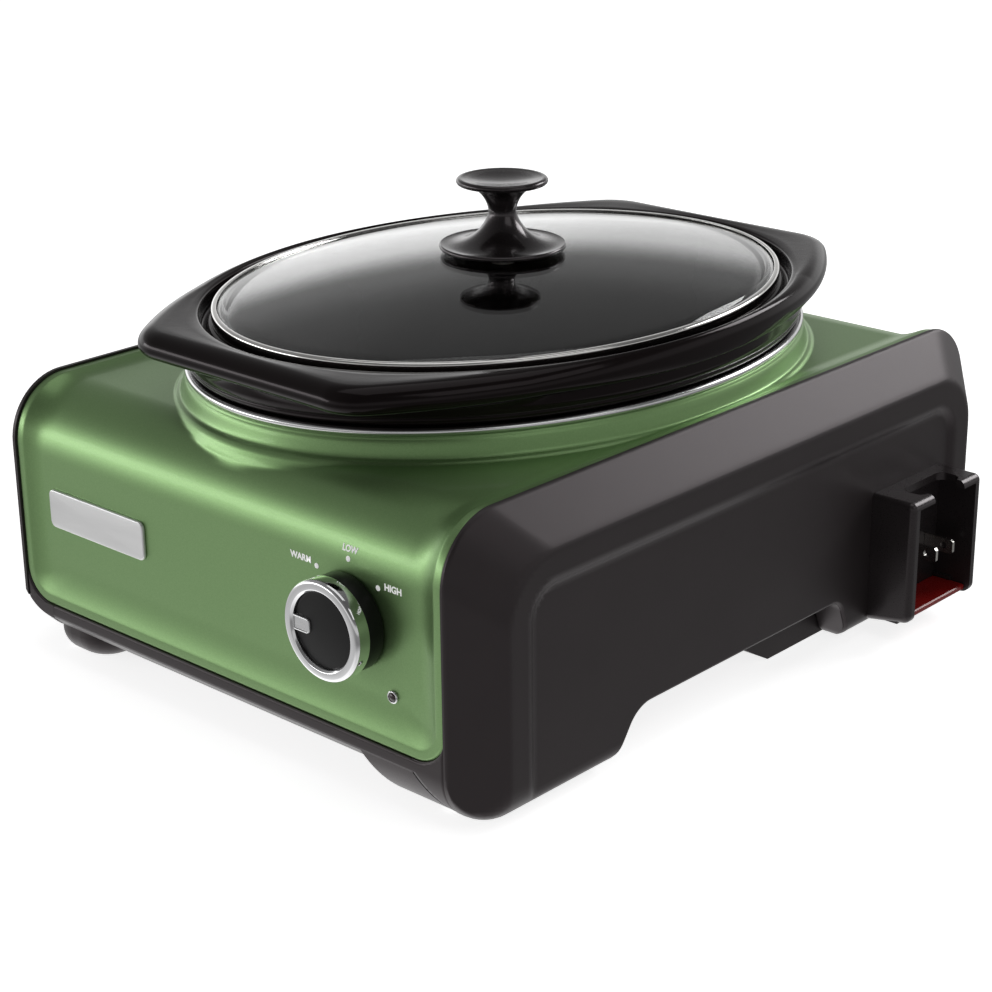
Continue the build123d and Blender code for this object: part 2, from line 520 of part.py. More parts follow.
badge = extrude(Plane.XZ.offset(-(YF - 0.02)) * Pos(BADGE_X, BADGE_Z) * RectangleRounded(BADGE_W, BADGE_H, 2.8), amount=1.4)
badge = fillet(badge.edges().group_by(Axis.Y)[0], 0.5)
NODES["badge_plate"] = badge

# ---------------------------------------------------------------- plug housing
h_side = round_poly([(XP, HZ0), (HX1, HZ0M), (HX1, HZ1), (XP, HZ1)], [0, 4, 3, 0])
house = prism_y(h_side, HY0, HY1)
house = fillet(house.edges().filter_by(Axis.X).group_by(Axis.Z)[-1], 2.5)
house -= box(XP + 2.6, HX1 + 5, HY0 + H_WALL, HY1 - H_WALL, -5, HZ1 - 3.2)
# cut-out in the roof with a narrower mouth
ym = (HY0 + HY1) / 2 + 1.0
house -= box(HX1 - 5.5, HX1 + 5, ym - 11.0, ym + 11.0, HZ1 - 10, HZ1 + 5)
house -= extrude(Pos((XP + 6 + HX1 - 4) / 2, ym, HZ1 - 10) * RectangleRounded(HX1 - 4 - XP - 6, 30, 4.0), amount=20)
# floor under the lock tab and guide ribs over it
house += box(XP + 0.5, HX1 - 6, HY0 + 1, HY1 - 1, TAB_Z0 - 1.8, TAB_Z0 - 0.3)
house += box(XP + 2.5, HX1 - 9, HY0 + H_WALL - 0.5, HY0 + H_WALL + 1.2, TAB_Z1 + 0.3, TAB_Z1 + 1.7)
house += box(XP + 2.5, HX1 - 9, HY1 - H_WALL - 1.2, HY1 - H_WALL + 0.5, TAB_Z1 + 0.3, TAB_Z1 + 1.7)
for y in BLADE_Y:
    house -= box(XP - 1, XP + 4, y - 0.9, y + 0.9, BLADE_Z - 3.3, BLADE_Z + 3.3)
for y, z in H_SCREWS:
    house -= cyl_x(y, z, 1.55, XP - 1, XP + 2.2)
NODES["plug_housing"] = house

blades = []
for y in BLADE_Y:
    b = box(121, BLADE_TIP, y - 0.75, y + 0.75, BLADE_Z - 3.15, BLADE_Z + 3.15)
    b = chamfer(b.edges().filter_by(Axis.Y).group_by(Axis.X)[-1], 0.9)
    b -= cyl_y(BLADE_TIP - 4.5, BLADE_Z, 1.55, y - 3, y + 3)
    blades.append(b)
NODES["plug_blades"] = blades
carrier = box(119, XP - 0.05, CY0, CY1, CZ0, CZ1)
for y in BLADE_Y:
    carrier -= box(110, 140, y - 0.8, y + 0.8, BLADE_Z - 3.2, BLADE_Z + 3.2)
NODES["blade_carrier"] = carrier

hs = []
for y, z in H_SCREWS:
    s = cyl_x(y, z, 2.8, XP - WALL - 2.4, XP - WALL - 0.02) + cyl_x(y, z, 1.5, XP - WALL - 1, XP + 2.1)
    s -= Pos(XP - WALL - 2.4, y, z) * Box(1.6, 4.0, 0.9)
    hs.append(s)
NODES["housing_screws"] = hs

tab = box(XP + 2.9, HX1 - 2.6, HY0 + H_WALL + 0.35, HY1 - H_WALL - 0.35, TAB_Z0, TAB_Z1)
tab = chamfer(tab.edges().filter_by(Axis.Y).group_by(Axis.X)[-1], 0.5)
NODES["lock_tab"] = tab

# ---------------------------------------------------------------- outlet in the left cap
ob = box(PK_X - 5.5, PK_X + 12, CY0, CY1, CZ0, CZ1)
for y in BLADE_Y:
    ob -= box(PK_X - 7, PK_X + 20, y - 1.1, y + 1.1, BLADE_Z - 3.6, BLADE_Z + 3.6)
    ob -= box(PK_X + 1, PK_X + 20, y - 2.6, y + 2.6, BLADE_Z - 4.2, BLADE_Z + 4.2)
NODES["outlet_block"] = ob
oc = []
for y in BLADE_Y:
    c = box(PK_X + 1.5, PK_X + 11.5, y - 1.6, y - 0.9, BLADE_Z - 3.8, BLADE_Z + 3.8)
    c += box(PK_X + 1.5, PK_X + 11.5, y + 0.9, y + 1.6, BLADE_Z - 3.8, BLADE_Z + 3.8)
    c += box(PK_X + 10.8, PK_X + 11.5, y - 1.6, y + 1.6, BLADE_Z - 3.8, BLADE_Z + 3.8)
    oc.append(c)
NODES["outlet_contacts"] = oc


# ---------------------------------------------------------------- internal leads
def lead(points, r=1.5):
    pts = [Vector(*p) for p in points]
    radii = []
    for i in range(1, len(pts) - 1):
        u, v = pts[i] - pts[i - 1], pts[i + 1] - pts[i]
        turn = math.radians(u.get_angle(v))
        radii.append(min(0.45 * min(u.length, v.length) / math.tan(turn / 2), 40.0))
    path = FilletPolyline(*[tuple(p) for p in pts], radius=radii)
    start = Plane(path @ 0, z_dir=path % 0)
    return sweep(start * Circle(r), path=path)


TZ = DIAL_Z - 9
SY = YF + 13
Y1, Y2 = BLADE_Y
NODES["switch_leads"] = [
    lead([(125, CY0 - 0.2, 36), (125, 50, 37), (124, 0, 39), (124, -60, 42), (121.5, -98, 46), (118, -122, 51), (112, -140, 56),
          (DIAL_X + 25.0, SY, TZ)]),
    lead([(DIAL_X - 24.5, SY, TZ), (38, -148.6, 57.5), (15, -151, 53), (-20, -151.2, 50), (-55, -143, 47), (-85, -124, 45),
          (-107, -85, 42), (-114.4, -20, 40), (-112, 40, 40), (-98, 92, 43), (-62, 130, 50), (-30, TERM_Y + 1.2, 54), (-7.3, TERM_Y, 54)]),
]
NODES["return_lead"] = [
    lead([(7.4, TERM_Y, 64), (28, TERM_Y + 2.2, 62), (58, 135, 56), (84, 117.5, 47), (102, 109.5, 40), (118.5, 108.4, 38)]),
]
NODES["through_leads"] = [
    lead([(125, CY1 + 0.6, 29.5), (121.5, 136, 29.5), (103, 148, 29.5), (60, 152, 29.5), (0, 153, 29.5), (-48, 151.5, 29.5), (-72, 141, 29.5),
          (-83, 123, 31), (-90, 115.6, 32), (PK_X + 12.2, Y2, BLADE_Z)]),
    lead([(125, CY1 + 0.6, 37), (120.5, 138, 37), (101, 149, 37), (60, 152.4, 37), (0, 153.4, 37), (-46, 152, 37), (-67, 142, 37),
          (-75, 123, 35), (-86, 104.8, 32.6), (PK_X + 12.2, Y1, BLADE_Z)]),
]

# ---------------------------------------------------------------- write the parts
move = Pos(-XC, -YC, 0)
lo = [1e9] * 3
hi = [-1e9] * 3
for name, item in NODES.items():
    pieces = []
    for piece in (item if isinstance(item, list) else [item]):
        pieces.extend(piece.solids())
    pieces = [move * s for s in pieces]
    out = pieces[0] if len(pieces) == 1 else Compound(children=pieces)
    out.label = name
    export_step(out, os.path.join("parts", name + ".step"))
    bb = out.bounding_box()
    for i, (a, b) in enumerate(zip(bb.min, bb.max)):
        lo[i] = min(lo[i], a)
        hi[i] = max(hi[i], b)
    print(name, len(pieces), round(sum(p.volume for p in pieces), 1))
print("overall", [round(v, 2) for v in lo], [round(v, 2) for v in hi])
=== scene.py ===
import json
import math

import bmesh
import bpy
import numpy as np
from mathutils import Matrix, Vector
from mathutils.geometry import delaunay_2d_cdt


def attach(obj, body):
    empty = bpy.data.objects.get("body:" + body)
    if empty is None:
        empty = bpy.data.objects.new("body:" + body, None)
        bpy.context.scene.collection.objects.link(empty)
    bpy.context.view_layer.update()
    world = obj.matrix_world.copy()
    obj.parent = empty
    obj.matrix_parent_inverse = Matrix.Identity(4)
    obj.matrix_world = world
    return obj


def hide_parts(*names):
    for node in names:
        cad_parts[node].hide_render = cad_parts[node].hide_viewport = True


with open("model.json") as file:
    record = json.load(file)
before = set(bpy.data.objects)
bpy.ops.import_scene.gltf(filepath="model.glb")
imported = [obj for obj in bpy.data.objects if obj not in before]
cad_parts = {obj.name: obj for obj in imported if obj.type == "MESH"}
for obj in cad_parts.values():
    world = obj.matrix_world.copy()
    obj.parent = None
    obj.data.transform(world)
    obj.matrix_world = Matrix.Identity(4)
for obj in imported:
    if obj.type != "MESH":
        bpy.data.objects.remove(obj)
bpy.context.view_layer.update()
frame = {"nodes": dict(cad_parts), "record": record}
NODE = frame["nodes"]

# The working frame of the part: millimetres, lid centre on the Z axis, floor at 0.
XC, YC = 8.95, -5.5
W2, DW, Z_TOP, R_TOP, Z_HEM, R_PANEL, HEM = 118.0, 160.7, 115.0, 25.0, 24.0, 14.0, 4.0
YF = -158.2
DIAL_X, DIAL_Z = 70.1, 66.7
LED_X, LED_Z = 91.3, 43.4
BADGE_X, BADGE_Z, BADGE_W, BADGE_H = -71.6, 66.5, 58.5, 16.0


def to_row(v):
    v = np.asarray(v, float)
    return (v - np.array([XC, YC, 0.0])) / 1000.0


# ------------------------------------------------------------------ materials
def new_mat(name):
    m = bpy.data.materials.new(name)
    m.use_nodes = True
    nt = m.node_tree
    bsdf = nt.nodes["Principled BSDF"]
    return m, nt, bsdf


def coords(nt):
    tc = nt.nodes.new("ShaderNodeTexCoord")
    return tc.outputs["Object"]


def noise(nt, co, scale, detail=4.0, rough=0.55, distort=0.0):
    n = nt.nodes.new("ShaderNodeTexNoise")
    n.inputs["Scale"].default_value = scale
    n.inputs["Detail"].default_value = detail
    n.inputs["Roughness"].default_value = rough
    n.inputs["Distortion"].default_value = distort
    nt.links.new(co, n.inputs["Vector"])
    return n.outputs["Fac"]


def stretch(nt, co, sx, sy, sz):
    mp = nt.nodes.new("ShaderNodeMapping")
    mp.inputs["Scale"].default_value = (sx, sy, sz)
    nt.links.new(co, mp.inputs["Vector"])
    return mp.outputs["Vector"]


def ramp(nt, fac, stops):
    r = nt.nodes.new("ShaderNodeValToRGB")
    el = r.color_ramp.elements
    while len(el) < len(stops):
        el.new(0.5)
    for e, (p, c) in zip(el, stops):
        e.position = p
        e.color = (c[0], c[1], c[2], 1.0)
    nt.links.new(fac, r.inputs["Fac"])
    return r.outputs["Color"]


def span(nt, fac, lo, hi, a=0.3, b=0.7):
    mr = nt.nodes.new("ShaderNodeMapRange")
    mr.inputs["From Min"].default_value = a
    mr.inputs["From Max"].default_value = b
    mr.inputs["To Min"].default_value = lo
    mr.inputs["To Max"].default_value = hi
    nt.links.new(fac, mr.inputs["Value"])
    return mr.outputs["Result"]


def bump(nt, height, strength, dist):
    b = nt.nodes.new("ShaderNodeBump")
    b.inputs["Strength"].default_value = strength
    b.inputs["Distance"].default_value = dist
    nt.links.new(height, b.inputs["Height"])
    return b.outputs["Normal"]


def surface(name, c0, c1, rough=(0.3, 0.4), metallic=0.0, scale=60.0, fine=900.0, bump_s=0.1, bump_d=0.0002,
            coat=0.0, coat_rough=0.05, spec=0.5, ior=1.5, stretched=None, tint=(1.0, 1.0, 1.0)):
    m, nt, b = new_mat(name)
    co = coords(nt)
    if stretched:
        co = stretch(nt, co, *stretched)
    big = noise(nt, co, scale, 5.0)
    small = noise(nt, co, fine, 3.0, 0.6)
    nt.links.new(ramp(nt, big, [(0.3, c0), (0.7, c1)]), b.inputs["Base Color"])
    nt.links.new(span(nt, small, rough[0], rough[1]), b.inputs["Roughness"])
    if bump_s > 0:
        nt.links.new(bump(nt, small, bump_s, bump_d), b.inputs["Normal"])
    b.inputs["Metallic"].default_value = metallic
    b.inputs["Coat Weight"].default_value = coat
    b.inputs["Coat Roughness"].default_value = coat_rough
    b.inputs["Specular IOR Level"].default_value = spec
    b.inputs["IOR"].default_value = ior
    b.inputs["Specular Tint"].default_value = (tint[0], tint[1], tint[2], 1.0)
    return m


# metallic sage enamel: fine flake under a clear coat
def sage():
    m, nt, b = new_mat("sage_paint")
    co = coords(nt)
    flake = nt.nodes.new("ShaderNodeTexVoronoi")
    flake.inputs["Scale"].default_value = 5200.0
    nt.links.new(co, flake.inputs["Vector"])
    cloud = noise(nt, co, 9.0, 3.0)
    mix = nt.nodes.new("ShaderNodeMath")
    mix.operation = "MULTIPLY_ADD"
    mix.inputs[1].default_value = 0.35
    nt.links.new(cloud, mix.inputs[0])
    sep = nt.nodes.new("ShaderNodeSeparateColor")
    nt.links.new(flake.outputs["Color"], sep.inputs["Color"])
    nt.links.new(sep.outputs["Red"], mix.inputs[2])
    nt.links.new(ramp(nt, mix.outputs[0], [(0.0, (0.208, 0.350, 0.142)), (0.55, (0.226, 0.376, 0.156)), (1.0, (0.250, 0.408, 0.176))]),
                 b.inputs["Base Color"])
    fine = noise(nt, co, 1800.0, 2.0)
    nt.links.new(span(nt, fine, 0.36, 0.43), b.inputs["Roughness"])
    nt.links.new(bump(nt, sep.outputs["Green"], 0.05, 0.00005), b.inputs["Normal"])
    b.inputs["Metallic"].default_value = 0.82
    b.inputs["Coat Weight"].default_value = 0.15
    b.inputs["Coat Roughness"].default_value = 0.05
    b.inputs["Coat IOR"].default_value = 1.5
    return m


WARM = (1.0, 0.88, 0.92)
M = {}
M["sage_paint"] = sage()
M["cap_plastic"] = surface("cap_plastic", (0.0200, 0.0165, 0.0168), (0.0240, 0.0200, 0.0204), (0.38, 0.46), scale=30, fine=2600, bump_s=0.18, bump_d=0.00006, tint=WARM)
M["base_plastic"] = surface("base_plastic", (0.020, 0.0165, 0.0168), (0.027, 0.0225, 0.0228), (0.36, 0.46), scale=40, fine=2200, bump_s=0.25, bump_d=0.00008, tint=WARM)
M["crock_glaze"] = surface("crock_glaze", (0.0066, 0.0046, 0.0046), (0.0092, 0.0064, 0.0064), (0.10, 0.15), scale=14, fine=160, bump_s=0.05, bump_d=0.0004, spec=0.18, tint=WARM)
M["pan_metal"] = surface("pan_metal", (0.70, 0.70, 0.71), (0.80, 0.80, 0.80), (0.14, 0.24), metallic=1.0, scale=50, fine=1500, bump_s=0.06, bump_d=0.0001, stretched=(1, 1, 12))
M["lid_steel"] = surface("lid_steel", (0.74, 0.73, 0.71), (0.84, 0.83, 0.81), (0.10, 0.18), metallic=1.0, scale=60, fine=1800, bump_s=0.04, bump_d=0.0001, stretched=(1, 1, 14))
M["knob_black"] = surface("knob_black", (0.0085, 0.0070, 0.0072), (0.0120, 0.0100, 0.0102), (0.20, 0.28), scale=40, fine=1800, bump_s=0.06, bump_d=0.00006, coat=0.35, coat_rough=0.06, tint=WARM)
M["rubber"] = surface("rubber", (0.010, 0.010, 0.010), (0.020, 0.020, 0.019), (0.68, 0.82), scale=80, fine=2400, bump_s=0.35, bump_d=0.0001)
M["chrome"] = surface("chrome", (0.80, 0.80, 0.81), (0.88, 0.88, 0.89), (0.05, 0.11), metallic=1.0, scale=80, fine=1400, bump_s=0.03, bump_d=0.00006)
M["satin_silver"] = surface("satin_silver", (0.60, 0.60, 0.61), (0.70, 0.70, 0.70), (0.26, 0.36), metallic=1.0, scale=60, fine=2600, bump_s=0.10, bump_d=0.00005, stretched=(1, 1, 9))
M["badge_silver"] = surface("badge_silver", (0.80, 0.80, 0.80), (0.86, 0.86, 0.86), (0.34, 0.42), metallic=0.75, scale=30, fine=2600, bump_s=0.06, bump_d=0.00003, stretched=(1, 1, 6))
M["dial_black"] = surface("dial_black", (0.0065, 0.0062, 0.0064), (0.010, 0.0096, 0.0098), (0.34, 0.44), scale=70, fine=2600, bump_s=0.15, bump_d=0.00005, spec=0.22)
M["housing_black"] = surface("housing_black", (0.0180, 0.0150, 0.0154), (0.0240, 0.0200, 0.0205), (0.26, 0.34), scale=40, fine=2200, bump_s=0.10, bump_d=0.00006, coat=0.2, coat_rough=0.10, tint=WARM)
M["blade_metal"] = surface("blade_metal", (0.70, 0.68, 0.64), (0.82, 0.80, 0.76), (0.18, 0.28), metallic=1.0, scale=120, fine=1800, bump_s=0.06, bump_d=0.00006, stretched=(1, 1, 10))
M["tab_red"] = surface("tab_red", (0.22, 0.006, 0.005), (0.30, 0.009, 0.007), (0.24, 0.34), scale=60, fine=1900, bump_s=0.10, bump_d=0.00006, coat=0.2, coat_rough=0.12)
M["fastener_steel"] = surface("fastener_steel", (0.48, 0.48, 0.47), (0.62, 0.61, 0.59), (0.30, 0.42), metallic=1.0, scale=150, fine=1500, bump_s=0.15, bump_d=0.0001)
M["heater_cloth"] = surface("heater_cloth", (0.58, 0.54, 0.46), (0.72, 0.68, 0.58), (0.72, 0.88), scale=300, fine=1200, bump_s=0.6, bump_d=0.0003, stretched=(1, 1, 5))
M["insulation"] = surface("insulation", (0.62, 0.57, 0.46), (0.78, 0.74, 0.62), (0.80, 0.94), scale=200, fine=900, bump_s=0.8, bump_d=0.0005)
M["lead_jacket"] = surface("lead_jacket", (0.60, 0.58, 0.54), (0.72, 0.70, 0.65), (0.46, 0.56), scale=150, fine=1600, bump_s=0.25, bump_d=0.0001)
M["switch_resin"] = surface("switch_resin", (0.10, 0.055, 0.03), (0.16, 0.09, 0.05), (0.40, 0.52), scale=120, fine=1600, bump_s=0.2, bump_d=0.0001)
M["label_white"] = surface("label_white", (0.86, 0.87, 0.85), (0.94, 0.94, 0.93), (0.42, 0.55), scale=300, fine=2500, bump_s=0.08, bump_d=0.00003)

# painted light: the white marks glow faintly (emission 0.25) so they read brighter than the lamps light them; the
# white base colour is the print's own colour
label_glow_bsdf = next(n for n in M["label_white"].node_tree.nodes if n.type == "BSDF_PRINCIPLED")
label_glow_bsdf.inputs["Emission Color"].default_value = (1.0, 1.0, 1.0, 1.0)
label_glow_bsdf.inputs["Emission Strength"].default_value = 0.25


def lens_mat():
    m, nt, b = new_mat("lamp_lens")
    co = coords(nt)
    n = noise(nt, co, 700.0, 3.0)
    nt.links.new(ramp(nt, n, [(0.3, (0.020, 0.006, 0.006)), (0.7, (0.042, 0.009, 0.009))]), b.inputs["Base Color"])
    nt.links.new(span(nt, n, 0.08, 0.16), b.inputs["Roughness"])
    b.inputs["Coat Weight"].default_value = 0.5
    return m


def glass_mat():
    m, nt, b = new_mat("lid_glass")
    co = coords(nt)
    n = noise(nt, co, 25.0, 3.0)
    nt.links.new(ramp(nt, n, [(0.3, (0.975, 0.985, 0.980)), (0.7, (0.992, 0.996, 0.994))]), b.inputs["Base Color"])
    nt.links.new(span(nt, n, 0.0, 0.015), b.inputs["Roughness"])
    b.inputs["Transmission Weight"].default_value = 1.0
    b.inputs["IOR"].default_value = 1.48
    return m


M["lamp_lens"] = lens_mat()
M["lid_glass"] = glass_mat()


# ------------------------------------------------------------------ mesh helpers
def add_mesh(name, V, F, body, mat, repl=(), loop_normals=None, angle=None, fix=True):
    me = bpy.data.meshes.new(name)
    me.from_pydata([tuple(p) for p in to_row(V)], [], [tuple(int(i) for i in f) for f in F])
    if fix:
        bm = bmesh.new()
        bm.from_mesh(me)
        bmesh.ops.recalc_face_normals(bm, faces=bm.faces)
        bm.to_mesh(me)
        bm.free()
    me.polygons.foreach_set("use_smooth", [True] * len(me.polygons))
    if angle is not None:
        me.set_sharp_from_angle(angle=math.radians(angle))
    if loop_normals is not None:
        me.normals_split_custom_set([tuple(n) for n in loop_normals])
    me.update()
    ob = bpy.data.objects.new(name, me)
    bpy.context.scene.collection.objects.link(ob)
    me.materials.append(M[mat])
    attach(ob, body)
    if repl:
        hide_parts(*repl)
    return ob


def fillet_path(pts, radii, seg=6, closed=False):
    """Polyline through pts with rounded corners."""
    pts = [np.array(p, float) for p in pts]
    n = len(pts)
    out = []
    for i in range(n):
        r = radii[i]
        if r <= 0 or (not closed and i in (0, n - 1)):
            out.append(pts[i])
            continue
        p, a, b = pts[i], pts[i - 1], pts[(i + 1) % n]
        u = (a - p) / np.linalg.norm(a - p)
        v = (b - p) / np.linalg.norm(b - p)
        half = math.acos(max(-1, min(1, float(u @ v)))) / 2
        if abs(math.pi / 2 - half) < 1e-3:
            out.append(p)
            continue
        t = min(r / math.tan(half), 0.49 * np.linalg.norm(a - p), 0.49 * np.linalg.norm(b - p))
        rr = t * math.tan(half)
        w = (u + v) / np.linalg.norm(u + v)
        c = p + w * (rr / math.sin(half))
        s, e = p + u * t - c, p + v * t - c
        ang = math.acos(max(-1, min(1, float(s @ e) / rr ** 2)))
        for k in range(seg + 1):
            q = k / seg
            out.append(c + (math.sin((1 - q) * ang) * s + math.sin(q * ang) * e) / math.sin(ang))
    return np.array(out)


def loft(rings, closed_rows=False, cap_start=False, cap_end=False):
    """Quads between equal-length rings. closed_rows joins the last ring to the first."""
    n = len(rings[0])
    V = np.vstack(rings)
    F = []
    k = len(rings)
    rows = range(k if closed_rows else k - 1)
    for r in rows:
        a, b = r * n, ((r + 1) % k) * n
        for i in range(n):
            j = (i + 1) % n
            F.append((a + i, a + j, b + j, b + i))
    extra = []
    for flag, row, sgn in ((cap_start, 0, -1), (cap_end, k - 1, 1)):
        if flag:
            c = len(V) + len(extra)
            extra.append(rings[row].mean(0))
            a = row * n
            for i in range(n):
                j = (i + 1) % n
                F.append((a + i, a + j, c) if sgn > 0 else (a + j, a + i, c))
    if extra:
        V = np.vstack([V, np.array(extra)])
    return V, F


def lathe(path, n=96, axis="z", centre=(0, 0, 0), cap=(True, True)):
    """path of (radius, height); axis z points up, axis y points out of the front panel (-Y)."""
    t = np.linspace(0, 2 * np.pi, n, endpoint=False)
    rings = []
    for r, h in path:
        x, y = r * np.cos(t), r * np.sin(t)
        if axis == "z":
            p = np.stack([x, y, np.full(n, h)], 1)
        else:
            p = np.stack([x, np.full(n, -h), y], 1)
        rings.append(p + np.array(centre, float))
    return loft(rings, cap_start=cap[0], cap_end=cap[1])


TH = np.linspace(0, 2 * np.pi, 720, endpoint=False)
CT, ST = np.cos(TH), np.sin(TH)


def oval_r(a, b):
    return 1.0 / np.sqrt((CT / a) ** 2 + (ST / b) ** 2)


def polar_ring(radius, z):
    return np.stack([radius * CT, radius * ST, np.full(len(TH), float(z)) if np.isscalar(z) else z], 1)


def oval_ring(a, b, z):
    return np.stack([a * CT, b * ST, np.full(len(TH), float(z))], 1)


# ------------------------------------------------------------------ sheet wrap
R_F, R_R = 27.0, 32.0
ZI = 113.0                   # drawn-in top
COL_A, COL_B = 109.4, 141.4  # top of the collar, inside


def prof_inner(v):
    """Drawn-in panel: y, z by the distance v from the middle of the top, front negative."""
    s = np.sign(v)
    a = np.abs(v)
    R = np.where(v < 0, R_F, R_R)
    T = -YF - R
    B = R * np.pi / 2
    th = np.clip((a - T) / R, 0, np.pi / 2)
    down = np.maximum(a - T - B, 0)
    y = np.minimum(a, T) + R * np.sin(th)
    z = ZI - R * (1 - np.cos(th)) - down
    return s * y, z


def prof_outer(v):
    """Hem: the same parameter on the outer bend."""
    s = np.sign(v)
    a = np.abs(v)
    R = np.where(v < 0, R_F, R_R)
    T = -YF - R
    B = R * np.pi / 2
    L = ZI - R - Z_HEM
    th = np.clip((a - T) / R, 0, np.pi / 2)
    top = np.minimum(a, T)
    y = top + (DW - R_TOP - T) * (top / T) ** 3 + R_TOP * np.sin(th)
    w = 1 - np.clip((a - T - B) / L, -0.2, 1.2)
    zv = Z_HEM + w * L + (Z_TOP - R_TOP - Z_HEM - L) * np.maximum(w, 0) ** 3
    z = np.where(a > T + B, zv, Z_TOP - R_TOP * (1 - np.cos(th)))
    return s * y, z


LEN_F = (-YF - R_F) + R_F * np.pi / 2 + (ZI - R_F - Z_HEM)
LEN_R = (-YF - R_R) + R_R * np.pi / 2 + (ZI - R_R - Z_HEM)


def edge_dist(x, v):
    a = W2 - np.abs(x)
    b = np.where(v < 0, LEN_F, LEN_R) - np.abs(v)
    r = R_PANEL
    corner = r - np.hypot(np.maximum(r - a, 0), np.maximum(r - b, 0))
    return np.where((a < r) & (b < r), corner, np.minimum(a, b))


def collar_off(x, y):
    F = np.hypot(x / COL_A, y / COL_B)
    F = np.maximum(F, 1e-6)
    g = np.hypot(x / COL_A ** 2, y / COL_B ** 2) / F
    return (F - 1) / np.maximum(g, 1e-9)


COL_D = np.array([-5.0, 0.0, 0.35, 0.7, 0.95, 1.25, 1.6, 2.0, 2.4, 2.75, 3.1, 3.5, 4.0, 4.6, 5.1, 5.5, 6.0, 7.0, 8.0, 9.0, 10.0, 12.0, 16.0, 24.0])
COL_H = np.array([122.3, 122.3, 122.15, 121.6, 120.9, 120.55, 119.6, 117.9, 116.4, 115.4, 114.75, 114.4, 114.25, 114.1, 113.8, 113.4, 112.7, 110.4, 107.0, 102.5, 97.0, 85.0, 60.0, 20.0])


def smax(a, b, k):
    h = np.clip(0.5 + 0.5 * (a - b) / k, 0, 1)
    return b * (1 - h) + a * h + k * h * (1 - h)


def wrap_point(x, v):
    yi, zi = prof_inner(v)
    yo, zo = prof_outer(v)
    R = np.where(v < 0, R_F, R_R)
    T = -YF - R
    th = np.clip((np.abs(v) - T) / R, 0, np.pi / 2)
    low = np.where(v < 0, LEN_F, LEN_R) - np.abs(v)
    side = W2 - np.abs(x)
    width = 9.0 + 4.0 * np.sin(2 * th) ** 2 + 5.5 * np.clip(0.5 + 0.5 * (side - low) / 12.0, 0, 1)
    d = edge_dist(x, v)
    e = d - HEM
    e = 0.5 * (e + np.sqrt(e * e + 0.25)) - 0.06
    q = np.clip(e / width, 0, 1)
    f = 1 - (1 - q) ** 2
    y = yo + (yi - yo) * f
    z = zo + (zi - zo) * f
    # rolled outer edge of the hem
    roll = 0.55 * np.clip(1 - d / 1.1, 0, 1) ** 2
    y = y - np.sign(v) * roll * np.sin(th)
    z = z - roll * np.cos(th)
    # collar and the shelf round it
    off = collar_off(x, y)
    zc = np.interp(off, COL_D, COL_H)
    k = 0.5 + 2.0 * np.clip((off - 4.0) / 8.0, 0, 1)
    fade = np.clip((th - 1.0) / 0.35, 0, 1)
    z = smax(zc - 200.0 * fade * fade * (3 - 2 * fade), z, k)
    return np.stack([x, y, z], -1)


def y_to_v(y):
    R = np.where(y < 0, R_F, R_R)
    T = -YF - R
    a = np.abs(y)
    th = np.arcsin(np.clip((a - T) / R, 0, 1))
    return np.sign(y) * np.where(a < T, a, T + R * th)


